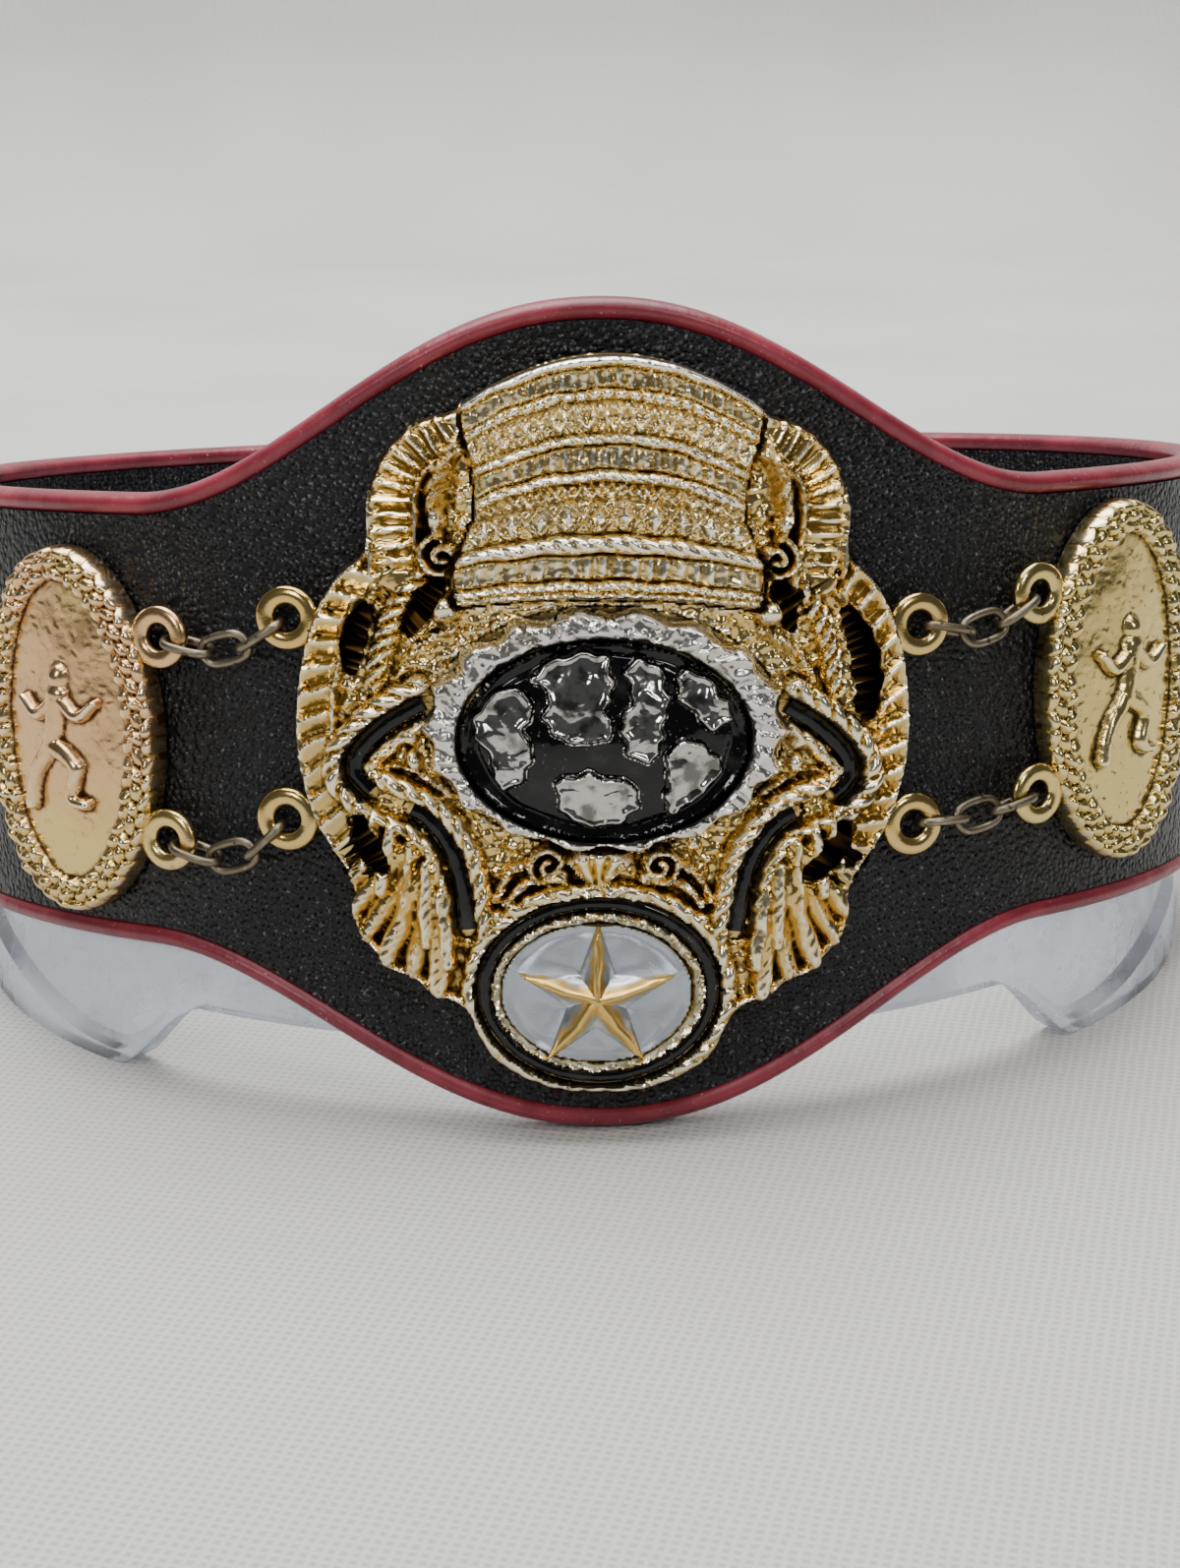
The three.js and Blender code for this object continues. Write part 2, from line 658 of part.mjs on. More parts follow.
// Room for an inlaid piece: its outline grown by the inlay gap, from the base plate up.
function pocket(points) {
  const grown = points.map((p, i) => {
    const before = points[(i - 1 + points.length) % points.length];
    const after = points[(i + 1) % points.length];
    const along = new THREE.Vector2(after.x - before.x, after.y - before.y).normalize();
    return new THREE.Vector2(p.x + along.y * 2 * INLAY_GAP, p.y - along.x * 2 * INLAY_GAP);
  });
  return slab(grown, PLATE_BASE, TOOL_TOP);
}

function channelLines() {
  const apart = (ROPE.width + CHANNEL.width) / 2 + CHANNEL.seam;
  return {
    side_right: beside(SIDE_ROPE, -apart).slice(0, -2),
    side_left: beside(flipped(SIDE_ROPE), apart).slice(0, -2),
    lower_right: beside(LOWER_ROPE, apart).slice(2, -2),
    lower_left: beside(flipped(LOWER_ROPE), -apart).slice(2, -2),
  };
}

function mainPlate() {
  const low = PLATE_BASE - ROOT;
  const ropeTop = PLATE_BASE + ROPE.rise;
  const { outerRope, innerRope } = MEDALLION;
  const raised = [
    slab(plateOutline(), PLATE_BACK, PLATE_BASE),
    ridge(ovalLine(outerRope), outerRope.width, low, ropeTop, true),
    ridge(ovalLine(innerRope), innerRope.width, low, PLATE_BASE + 0.8 * ROPE.rise, true),
    shell(),
  ];
  for (const side of [-1, 1]) {
    const placed = (line) => (side > 0 ? line : flipped(line));
    raised.push(
      ridge(rimArc(side), RIM.band, low, PLATE_BASE + RIM.rise),
      ridge(placed(RIBBON.line), RIBBON.width, low, PLATE_BASE + RIBBON.rise),
      ridge(placed(SIDE_ROPE), ROPE.width, low, ropeTop),
      ridge(placed(LOWER_ROPE), ROPE.width, low, ropeTop),
      scroll(side),
      ...FEATHERS.map((blade) => feather(blade, side)),
      eyeletRing(side * MAIN_EYELET.x, MAIN_EYELET.y),
      eyeletRing(side * MAIN_EYELET.x, -MAIN_EYELET.y),
    );
  }
  const channels = Object.values(channelLines())
    .map((line) => ridge(line, CHANNEL.width + 3 * INLAY_GAP, PLATE_BASE, TOOL_TOP));
  const tools = [
    ...SLOTS.map(slot),
    ...channels,
    ridge(ovalLine(MEDALLION.enamel), MEDALLION.enamel.width + 4 * INLAY_GAP, PLATE_BASE, TOOL_TOP, true),
    pocket(crownOutline()),
    pocket(ovalPoints(GLOBE.outer.halfWidth, GLOBE.outer.halfHeight, OVAL_STEPS, GLOBE.outer)),
    pocket(ovalPoints(MEDALLION.field.halfWidth, MEDALLION.field.halfHeight, OVAL_STEPS, MEDALLION.field)),
  ];
  for (const side of [-1, 1]) {
    for (const up of [-1, 1]) tools.push(eyeletHole(side * MAIN_EYELET.x, up * MAIN_EYELET.y));
  }
  return mesh('main_plate', onPlate(toGeometry(cutOut(union(raised), tools))), GOLD);
}

// A place on the crown: across from -1 to 1, row of the table.
function crownPoint(across, row) {
  const { y, half, rise } = CROWN_ROWS[row];
  const bow = (CROWN.drop * (y - CROWN.level)) / (CROWN_ROWS[0].y - CROWN.level);
  return new THREE.Vector3(
    across * half * PLATE.halfWidth,
    (y - bow * across ** 2) * PLATE.halfHeight,
    PLATE_BASE + rise * CROWN.rise * (1 - CROWN.flank * across ** 2),
  );
}

function crownOutline() {
  const columns = Array.from({ length: CROWN.columns + 1 }, (_, i) => (2 * i) / CROWN.columns - 1);
  const bottom = CROWN_ROWS.length - 1;
  const right = CROWN_ROWS.map((_, row) => crownPoint(1, row)).reverse();
  const left = CROWN_ROWS.map((_, row) => crownPoint(-1, row));
  const lower = columns.map((across) => crownPoint(across, bottom)).slice(1, -1);
  const upper = columns.map((across) => crownPoint(across, 0)).reverse().slice(1, -1);
  return [...lower, ...right, ...upper, ...left].map((p) => new THREE.Vector2(p.x, p.y));
}

function crown() {
  const body = relief(
    CROWN.columns,
    CROWN_ROWS.length - 1,
    (column, row) => crownPoint((2 * column) / CROWN.columns - 1, row),
    CROWN_BACK,
  );
  return mesh('crown', onPlate(body, wrap), GOLD);
}

function globeFrame() {
  const { outer, inner, rise, scallops, wave, section } = GLOBE;
  const steps = 2 * scallops;
  const back = PLATE_BASE + INLAY_GAP;
  const rings = Array.from({ length: steps }, (_, i) => {
    const angle = (i / steps) * 2 * Math.PI;
    const dip = i % 2 ? wave : 0;
    const at = (oval, share) => new THREE.Vector2(
      oval.x + oval.halfWidth * share * Math.cos(angle),
      oval.y + oval.halfHeight * share * Math.sin(angle),
    );
    const out = at(outer, 1 - dip);
    const inn = at(inner, 1 + dip);
    const across = (share, z) => {
      const place = inn.clone().lerp(out, share);
      return new THREE.Vector3(place.x, place.y, z);
    };
    const raised = section.map(([share, up]) => across(share, PLATE_BASE + up * rise));
    return [across(0, back), ...raised, across(1, back)];
  });
  return mesh('globe_frame', onPlate(loft(rings, true), wrap), SILVER);
}

const GLOBE_DOME = { edge: 0.7, top: 1.65, seam: 0.15, shares: [1, 0.8, 0.45, 0], steps: 20 };

// Height of the dome over the base plate at a place on the main plate.
function domeRise(x, y) {
  const { inner } = GLOBE;
  const share = Math.hypot((x - inner.x) / inner.halfWidth, (y - inner.y) / inner.halfHeight);
  return GLOBE_DOME.edge + (GLOBE_DOME.top - GLOBE_DOME.edge) * (1 - Math.min(share, 1) ** 2);
}

function globeEnamel() {
  const { inner } = GLOBE;
  const { shares, steps, seam } = GLOBE_DOME;
  const back = PLATE_BASE + INLAY_GAP;
  const profile = [new THREE.Vector2(0, back), new THREE.Vector2(1, back)];
  for (const share of shares) {
    profile.push(new THREE.Vector2(share, PLATE_BASE + domeRise(inner.x + share * inner.halfWidth, inner.y)));
  }
  const dome = new THREE.LatheGeometry(profile, steps).rotateX(Math.PI / 2)
    .scale(inner.halfWidth - seam, inner.halfHeight - seam, 1)
    .translate(inner.x, inner.y, 0);
  return mesh('globe_enamel', onPlate(merged(dome)), ENAMEL);
}

// Invented land masses, each an outline in shares of the dome's half width and half height.
const LANDS = [
  [
    [-0.9, 0.05], [-0.86, 0.3], [-0.72, 0.52], [-0.56, 0.5], [-0.5, 0.3], [-0.56, 0.12], [-0.5, -0.1],
    [-0.58, -0.42], [-0.7, -0.5], [-0.78, -0.2],
  ],
  [
    [-0.52, 0.62], [-0.3, 0.86], [-0.05, 0.9], [0.04, 0.66], [0, 0.3], [0.04, 0.1], [-0.14, -0.02],
    [-0.32, 0.06], [-0.42, 0.26], [-0.38, 0.46],
  ],
  [[0.12, 0.78], [0.34, 0.8], [0.42, 0.5], [0.38, 0.1], [0.3, -0.2], [0.16, -0.12], [0.1, 0.2], [0.18, 0.46]],
  [[-0.34, -0.42], [-0.12, -0.3], [0.18, -0.42], [0.24, -0.66], [0.02, -0.84], [-0.24, -0.76]],
  [[0.52, 0.74], [0.74, 0.56], [0.86, 0.26], [0.74, 0.1], [0.62, 0.28], [0.5, 0.44]],
  [[0.46, -0.02], [0.66, 0], [0.8, -0.28], [0.64, -0.56], [0.46, -0.7], [0.42, -0.36]],
];
const LAND_THICKNESS = 0.35;
const LAND_GAP = 0.2;

function land(points, number) {
  const { inner } = GLOBE;
  const outline = points.map(([x, y]) => (
    new THREE.Vector2(inner.x + x * inner.halfWidth, inner.y + y * inner.halfHeight)
  ));
  if (THREE.ShapeUtils.isClockWise(outline)) outline.reverse();
  const block = merged(slab(outline, 0, LAND_THICKNESS));
  const p = block.attributes.position;
  for (let i = 0; i < p.count; i += 1) {
    p.setZ(i, p.getZ(i) + PLATE_BASE + LAND_GAP + domeRise(p.getX(i), p.getY(i)));
  }
  return mesh(`land_${number}`, onPlate(block), SILVER);
}

const FIELD_RISE = 0.45;
const STAR_EDGE = 0.15;

function starField() {
  const { field } = MEDALLION;
  const back = PLATE_BASE + INLAY_GAP;
  const outline = ovalPoints(field.halfWidth, field.halfHeight, OVAL_STEPS, field);
  return mesh('star_field', onPlate(merged(slab(outline, back, PLATE_BASE + FIELD_RISE))), SATIN);
}

function star() {
  const ring = (z) => Array.from({ length: 2 * STAR.points }, (_, i) => {
    const angle = Math.PI / 2 - (i * Math.PI) / STAR.points;
    const reach = STAR.radius * (i % 2 ? STAR.notch : 1);
    return new THREE.Vector3(STAR.x + reach * Math.cos(angle), STAR.y + reach * Math.sin(angle), z);
  });
  const back = PLATE_BASE + FIELD_RISE + INLAY_GAP;
  const apex = new THREE.Vector3(STAR.x, STAR.y, back + STAR.rise);
  return mesh('star', onPlate(loft([ring(back), ring(back + STAR_EDGE)], false, apex)), GOLD);
}

function enamelRing() {
  const { enamel } = MEDALLION;
  const [back, front] = [PLATE_BASE + INLAY_GAP, PLATE_BASE + CHANNEL.rise];
  const ring = ridge(ovalLine(enamel), enamel.width, back, front, true);
  return mesh('enamel_ring', onPlate(ring), ENAMEL);
}

function enamelChannels() {
  return Object.entries(channelLines()).map(([name, line]) => {
    const strip = ridge(line, CHANNEL.width, PLATE_BASE + INLAY_GAP, PLATE_BASE + CHANNEL.rise);
    return mesh(`enamel_${name}`, onPlate(strip), ENAMEL);
  });
}

// Side plates, drawn about their own middle
// The figure's lines are shares of the plate's half width and half height, its limbs of the torso's width.
const FIGURE = {
  rise: 0.55,
  torso: 1.7,
  head: { x: 0.014, y: 0.267, radius: 0.47 },
  limbs: [
    { width: 1, line: [[0, 0.181], [-0.041, 0.034], [-0.082, -0.086]] },
    { width: 0.56, line: [[0.041, 0.155], [0.26, 0.103], [0.452, 0.147]] },
    { width: 0.56, line: [[-0.041, 0.155], [-0.26, 0.086], [-0.425, 0.138]] },
    { width: 0.65, line: [[-0.055, -0.086], [0.178, -0.19], [0.123, -0.362], [0.26, -0.388]] },
    { width: 0.65, line: [[-0.11, -0.086], [-0.301, -0.224], [-0.384, -0.414]] },
  ],
};
const sidePoint = ([x, y]) => new THREE.Vector3(x * SIDE_PLATE.halfWidth, y * SIDE_PLATE.halfHeight, 0);

// The oval casting: a flat back, an upright edge, a raised border and a sunk field.
function sideOval() {
  const { halfWidth, halfHeight, border, band } = SIDE_PLATE;
  const top = SIDE_BASE + border;
  const ring = (inset, z) => ovalPoints(halfWidth - inset, halfHeight - inset, SIDE_PLATE.steps)
    .map((p) => new THREE.Vector3(p.x, p.y, z));
  const crest = [ring(0.35 * band, top), ring(0.65 * band, top)];
  return loft([ring(0, PLATE_BACK), ring(0, SIDE_BASE), ...crest, ring(band, SIDE_BASE)], false);
}

function sidePlate(plate) {
  const { side, name, colour } = plate;
  const low = SIDE_BASE - ROOT;
  const top = SIDE_BASE + FIGURE.rise;
  const { head, limbs, torso } = FIGURE;
  const radius = head.radius * torso;
  const body = union([
    sideOval(),
    slab(ovalPoints(radius, radius, 8, sidePoint([head.x, head.y])), low, top),
    ...limbs.map(({ width, line }) => ridge(line.map(sidePoint), width * torso, low, top)),
    eyeletRing(-side * SIDE_EYELET.x, SIDE_EYELET.y),
    eyeletRing(-side * SIDE_EYELET.x, -SIDE_EYELET.y),
  ]);
  const holes = [1, -1].map((up) => eyeletHole(-side * SIDE_EYELET.x, up * SIDE_EYELET.y));
  const centre = sidePlateCentre(plate);
  const geometry = toGeometry(cutOut(body, holes)).translate(centre.x, centre.y, 0);
  return mesh(`side_plate_${name}`, bend(geometry), material(`${name}_brass`, colour, 0.35, 1));
}

// Chains: three links hang between an eyelet of the main plate and one of a side plate.
function mainEyelet(side, up) {
  return new THREE.Vector2(side * MAIN_EYELET.x, up * MAIN_EYELET.y)
    .rotateAround(new THREE.Vector2(), -PLATE_LEAN)
    .add(new THREE.Vector2(PLATE_CENTRE.x, PLATE_CENTRE.y));
}

function link(name, centre, direction, twist) {
  const { wire, halfLength, halfWidth, around, wireSides } = LINK;
  const straight = halfLength - halfWidth;
  const rings = Array.from({ length: around }, (_, i) => {
    const angle = ((i + 0.5) / around) * 2 * Math.PI;
    const out = new THREE.Vector3(Math.cos(angle), Math.sin(angle), 0);
    const middle = out.clone().multiplyScalar(halfWidth);
    middle.x += Math.sign(out.x) * straight;
    return Array.from({ length: wireSides }, (__, j) => {
      const turn = (j / wireSides) * 2 * Math.PI;
      return middle.clone().addScaledVector(out, wire * Math.cos(turn))
        .add(new THREE.Vector3(0, 0, wire * Math.sin(turn)));
    });
  });
  const geometry = loft(rings, true).rotateX(twist).rotateZ(Math.atan2(direction.y, direction.x));
  return mesh(name, wrap(geometry.translate(centre.x, centre.y, centre.z)), CHAIN_METAL);
}

const LINK_TWISTS = [80, -10, 80];
const IN_HOLE = EYELET.hole - LINK.wire - LINK.clearance;
const HOOK = 2 * LINK.wire + LINK.clearance;
const OUTER_RUN = IN_HOLE + 2 * LINK.halfLength - HOOK / 2;
const MIDDLE_RUN = 2 * LINK.halfLength - HOOK;

// The middle of a side plate, one stretched chain out from the main plate's eyelet.
function sidePlateCentre({ side, stretch, level }) {
  const reach = MAIN_EYELET.x + stretch * (2 * OUTER_RUN + MIDDLE_RUN) + SIDE_EYELET.x;
  const x = PLATE_CENTRE.x + side * reach;
  return new THREE.Vector2(x, THREE.MathUtils.lerp(edgeBottom(x), edgeTop(x), level));
}

function chain(plate, up) {
  const { halfLength } = LINK;
  const start = mainEyelet(plate.side, up);
  const end = sidePlateCentre(plate);
  end.x -= plate.side * SIDE_EYELET.x;
  end.y += up * SIDE_EYELET.y;
  const chord = end.clone().sub(start);
  const drop = Math.acos(Math.min(1, (chord.length() - MIDDLE_RUN) / (2 * OUTER_RUN)));
  const along = chord.clone().normalize();
  const down = new THREE.Vector2(along.y, -along.x).multiplyScalar(plate.side);
  const slope = (sign) => (
    along.clone().multiplyScalar(Math.cos(drop)).addScaledVector(down, sign * Math.sin(drop))
  );
  const fromStart = (length) => start.clone().addScaledVector(slope(1), length);
  const fromEnd = (length) => end.clone().addScaledVector(slope(-1), -length);
  const first = fromStart(IN_HOLE + halfLength);
  const last = fromEnd(IN_HOLE + halfLength);
  const middle = fromStart(OUTER_RUN).lerp(fromEnd(OUTER_RUN), 0.5);
  const level = up > 0 ? 'upper' : 'lower';
  return [[first, slope(1)], [middle, along], [last, slope(-1)]].map(([at, direction], i) => link(
    `link_${plate.name}_${level}_${i + 1}`,
    new THREE.Vector3(at.x, at.y, CHAIN_HEIGHT),
    direction,
    THREE.MathUtils.degToRad(LINK_TWISTS[i]),
  ));
}

// The clear ring inside the loop. It leans with the belt and stands on a thick foot at each side.
function displayRing(tilt, lift) {
  const halfWidth = LOOP_HALF_WIDTH - BEAD_DEPTH / 2 - RING_GAP;
  const halfDepth = (LOOP_HALF_DEPTH - BEAD_DEPTH / 2 - RING_GAP) / Math.cos(tilt);
  const rings = Array.from({ length: RING_STEPS }, (_, i) => {
    const angle = (i / RING_STEPS) * 2 * Math.PI;
    const fromFront = THREE.MathUtils.radToDeg(Math.min(angle, 2 * Math.PI - angle));
    const fromEnd = Math.min(fromFront, 180 - fromFront);
    const landed = THREE.MathUtils.smoothstep(fromEnd, FOOT.start, FOOT.landed);
    const swell = THREE.MathUtils.smoothstep(fromEnd, FOOT.landed, FOOT.crest);
    const bottom = RING_LIFT * (1 - landed);
    const height = THREE.MathUtils.lerp(FOOT.low, FOOT.high, swell);
    const swollen = bottom + THREE.MathUtils.lerp(FOOT.lip, height, landed);
    const depth = LOOP_HALF_DEPTH * Math.cos(angle);
    const beltEdge = NARROW_BOTTOM * Math.cos(tilt) + depth * Math.sin(tilt) + lift;
    const crease = fromEnd > FOOT.start ? Math.min(swollen, beltEdge - FOOT.clearance) : swollen;
    const band = FOOT.band * landed;
    const at = (offset, z) => new THREE.Vector3(
      (halfWidth + offset) * Math.sin(angle),
      -(halfDepth + offset) * Math.cos(angle) + (z - lift) * Math.tan(tilt),
      z,
    );
    return [at(0, RING_TOP), at(0, crease + FOOT.bevel), at(band, crease), at(band, bottom),
      at(-RING_WALL, bottom), at(-RING_WALL, RING_TOP)];
  });
  return mesh('display_ring', loft(rings, true), CLEAR);
}

function belt() {
  const group = new THREE.Group();
  group.add(
    strap(),
    piping('piping_top', edgeTop, -1),
    piping('piping_bottom', edgeBottom, 1),
    snap('snap_upper', 0.73),
    snap('snap_lower', 0.27),
    mainPlate(),
    crown(),
    globeFrame(),
    globeEnamel(),
    ...LANDS.map((points, i) => land(points, i + 1)),
    starField(),
    star(),
    enamelRing(),
    ...enamelChannels(),
    ...SIDE_PLATES.map(sidePlate),
    ...SIDE_PLATES.flatMap((plate) => [1, -1].flatMap((up) => chain(plate, up))),
  );
  return group;
}

// The belt leans back until the overlap at its back is as low as the lobe at its front.
function assembly() {
  const tilt = Math.atan2(NARROW_BOTTOM, 2 * LOOP_HALF_DEPTH + LAP_STEP);
  const leaning = belt();
  leaning.rotation.x = -tilt;
  const lift = -new THREE.Box3().setFromObject(leaning, true).min.z;
  leaning.position.z = lift;
  const whole = new THREE.Group();
  whole.add(leaning, displayRing(tilt, lift));
  const box = new THREE.Box3().setFromObject(whole, true);
  whole.position.set(-(box.min.x + box.max.x) / 2, -(box.min.y + box.max.y) / 2, -box.min.z);
  return whole;
}

export default assembly();
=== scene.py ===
"""Looks of a miniature championship title belt, closed in a loop on a low clear display ring.

Every length in the classes is in millimetres and is turned to metres when a piece is placed. Pieces
of the belt are drawn flat, as the maker cuts them: x runs along the strap from the middle of its
front, y is the height over the lowest point of the front lobe, and z is the distance out from the
middle of the strap. The loop then wraps them round and leans them back.
"""

import logging
import math
from collections.abc import Callable, Sequence
from dataclasses import dataclass, field
from enum import Enum

import bpy
import numpy as np
from mathutils import Matrix, Vector

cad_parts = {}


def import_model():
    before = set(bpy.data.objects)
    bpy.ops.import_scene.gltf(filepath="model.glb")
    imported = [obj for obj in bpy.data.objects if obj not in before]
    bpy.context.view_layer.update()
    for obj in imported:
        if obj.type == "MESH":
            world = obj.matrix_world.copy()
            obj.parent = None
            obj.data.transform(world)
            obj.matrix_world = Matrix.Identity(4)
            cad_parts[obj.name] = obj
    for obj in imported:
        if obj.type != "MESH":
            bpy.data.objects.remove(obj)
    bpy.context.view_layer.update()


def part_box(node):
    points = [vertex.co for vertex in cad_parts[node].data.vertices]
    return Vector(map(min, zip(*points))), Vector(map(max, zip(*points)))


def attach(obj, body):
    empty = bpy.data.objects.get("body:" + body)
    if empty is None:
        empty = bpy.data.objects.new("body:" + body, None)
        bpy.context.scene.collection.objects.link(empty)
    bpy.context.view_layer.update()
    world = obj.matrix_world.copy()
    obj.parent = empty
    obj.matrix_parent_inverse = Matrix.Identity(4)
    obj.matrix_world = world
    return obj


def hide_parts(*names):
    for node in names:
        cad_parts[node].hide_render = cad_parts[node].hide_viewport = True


LOG = logging.getLogger("belt")
MM = 0.001
BODY = "root"
Array = np.ndarray
Points = Sequence[tuple[float, float]]
Pattern = Callable[[Array, Array], Array]


# Lines and reliefs


class Section(Enum):
    """How a raised line is shaped across, from its middle to its edge."""

    ROUND = "round"
    FLAT = "flat"
    PEAK = "peak"

    def height(self, share: Array) -> Array:
        """Height as a share, at a share of the way from the middle to the edge.

        Args:
            share: 0 in the middle of the line, 1 at its edge and more outside it.

        Returns:
            Array: 1 in the middle, 0 at the edge and outside.
        """
        inside = np.clip(1 - share, 0, 1)
        if self is Section.ROUND:
            return np.sqrt(1 - (1 - inside) ** 2)
        if self is Section.FLAT:
            return soft(inside / 0.35)
        return inside


def soft(share: Array) -> Array:
    """A smooth step from 0 to 1."""
    held = np.clip(share, 0, 1)
    return held * held * (3 - 2 * held)


@dataclass
class Near:
    """Where the points of a grid lie along a line."""

    distance: Array
    along: Array
    across: Array
    x: Array
    y: Array


class Line:
    """A smooth line through a few points in a flat piece's plane."""

    def __init__(self, points: Points, closed: bool = False, steps: int = 8, smooth: bool = True) -> None:
        """Draws the line.

        Args:
            points: the points that the line passes through, in millimetres.
            closed: whether the last point joins the first.
            steps: pieces between two points.
            smooth: whether the line curves through the points or runs straight between them.
        """
        corners = np.array(points, float)
        self.closed = closed
        self.points = self.curve(corners, steps) if smooth and len(corners) > 2 else corners
        if closed:
            self.points = np.vstack([self.points, self.points[:1]])
        runs = np.hypot(*np.diff(self.points, axis=0).T)
        self.lengths = np.concatenate([[0.0], np.cumsum(runs)])
        self.length = float(self.lengths[-1])

    def curve(self, corners: Array, steps: int) -> Array:
        """Points of a Catmull-Rom curve through the corners."""
        count = len(corners)
        if self.closed:
            around = np.vstack([corners[-1:], corners, corners[:2]])
        else:
            around = np.vstack([2 * corners[0] - corners[1], corners, 2 * corners[-1] - corners[-2]])
        spans = count if self.closed else count - 1
        t = (np.arange(steps) / steps)[:, None]
        made = []
        for i in range(spans):
            a, b, c, d = around[i : i + 4]
            square, cube = 2 * a - 5 * b + 4 * c - d, 3 * b - a - 3 * c + d
            made.append(0.5 * (2 * b + (c - a) * t + square * t**2 + cube * t**3))
        if not self.closed:
            made.append(corners[-1:])
        return np.vstack(made)

    def flipped(self) -> "Line":
        """The same line on the other side of the middle."""
        return Line([(-x, y) for x, y in self.points], smooth=False)

    def beside(self, distance: float) -> "Line":
        """The line moved sideways, to its left for a positive distance."""
        along = np.gradient(self.points, axis=0)
        along /= np.hypot(*along.T)[:, None]
        moved = self.points + distance * np.column_stack([-along[:, 1], along[:, 0]])
        return Line(moved, smooth=False)

    def even(self, count: int) -> tuple[Array, Array]:
        """Evenly spaced points on the line and the directions there.

        Args:
            count: how many points.

        Returns:
            tuple[Array, Array]: the points and the unit directions, two columns each.
        """
        shares = np.linspace(0, self.length, count, endpoint=not self.closed)
        places = np.column_stack([np.interp(shares, self.lengths, self.points[:, k]) for k in (0, 1)])
        later, sooner = np.minimum(shares + 0.05, self.length), np.maximum(shares - 0.05, 0)
        ahead = np.column_stack([np.interp(later, self.lengths, self.points[:, k]) for k in (0, 1)])
        behind = np.column_stack([np.interp(sooner, self.lengths, self.points[:, k]) for k in (0, 1)])
        along = ahead - behind
        return places, along / np.maximum(np.hypot(*along.T), 1e-9)[:, None]

    def near(self, x: Array, y: Array, reach: float) -> Near:
        """Measures where each point lies along the line.

        Args:
            x: first coordinates.
            y: second coordinates.
            reach: points further than this are left at an endless distance.

        Returns:
            Near: distance, length along the line, signed distance to its left, and the nearest place.
        """
        low = self.points.min(0) - reach
        high = self.points.max(0) + reach
        close = (x > low[0]) & (x < high[0]) & (y > low[1]) & (y < high[1])
        px, py = x[close], y[close]
        best = np.full(px.shape, np.inf)
        along, across, near_x, near_y = (np.zeros(px.shape) for _ in range(4))
        for start, end, length in zip(self.points[:-1], self.points[1:], self.lengths[:-1]):
            step = end - start
            size = float(np.hypot(*step))
            if size < 1e-9:
                continue
            share = np.clip(((px - start[0]) * step[0] + (py - start[1]) * step[1]) / size**2, 0, 1)
            ax, ay = start[0] + share * step[0], start[1] + share * step[1]
            apart = np.hypot(px - ax, py - ay)
            nearer = apart < best
            side = step[0] * (py - ay) - step[1] * (px - ax)
            best = np.where(nearer, apart, best)
            along = np.where(nearer, length + share * size, along)
            across = np.where(nearer, np.where(side >= 0, apart, -apart), across)
            near_x = np.where(nearer, ax, near_x)
            near_y = np.where(nearer, ay, near_y)
        full = Near(np.full(x.shape, np.inf), *(np.zeros(x.shape) for _ in range(4)))
        full.distance[close], full.along[close], full.across[close] = best, along, across
        full.x[close], full.y[close] = near_x, near_y
        return full

    def holds(self, x: Array, y: Array) -> Array:
        """Whether each point lies inside the closed line."""
        inside = np.zeros(x.shape, bool)
        for (ax, ay), (bx, by) in zip(self.points[:-1], self.points[1:]):
            if ay == by:
                continue
            crosses = ((ay > y) != (by > y)) & (x < ax + (bx - ax) * (y - ay) / (by - ay))
            inside ^= crosses
        return inside

    def depth(self, x: Array, y: Array, reach: float = 3.0) -> Array:
        """Distance in from the closed line, negative outside it."""
        apart = np.minimum(self.near(x, y, reach).distance, reach)
        return np.where(self.holds(x, y), apart, -apart)


def oval(x: float, y: float, half_width: float, half_height: float, steps: int = 96) -> Line:
    """A closed oval line about (x, y)."""
    turns = np.linspace(0, 2 * math.pi, steps, endpoint=False)
    places = np.column_stack([x + half_width * np.cos(turns), y + half_height * np.sin(turns)])
    return Line(places, closed=True, smooth=False)


@dataclass(frozen=True)
class Twist:
    """Strands laid round a cord: slanted swells that repeat along it."""

    pitch: float
    depth: float = 0.5
    lean: float = 0.7
    sharp: float = 0.6

    def __call__(self, along: Array, across: Array) -> Array:
        """Height as a share, at a length along the cord and a share across it."""
        wave = np.abs(np.sin(math.pi * (along / self.pitch + self.lean * across)))
        return 1 - self.depth * (1 - wave**self.sharp)


@dataclass(frozen=True)
class Beads:
    """A row of round beads."""

    pitch: float

    def __call__(self, along: Array, across: Array) -> Array:
        """Height as a share, at a length along the row and a share across it."""
        from_middle = 2 * np.abs(along / self.pitch - np.floor(along / self.pitch) - 0.5)
        return np.sqrt(np.clip(1 - 0.95 * from_middle**2, 0.02, 1))


@dataclass(frozen=True)
class Spikes:
    """Slanted facets that rise to a sharp crest and drop steeply."""

    pitch: float
    depth: float = 0.6
    lean: float = 0.5
    steep: float = 0.25

    def __call__(self, along: Array, across: Array) -> Array:
        """Height as a share, at a length along the row and a share across it."""
        phase = along / self.pitch + self.lean * across
        phase = phase - np.floor(phase)
        climb = phase / (1 - self.steep)
        fall = (1 - phase) / self.steep
        return 1 - self.depth + self.depth * np.minimum(climb, fall)


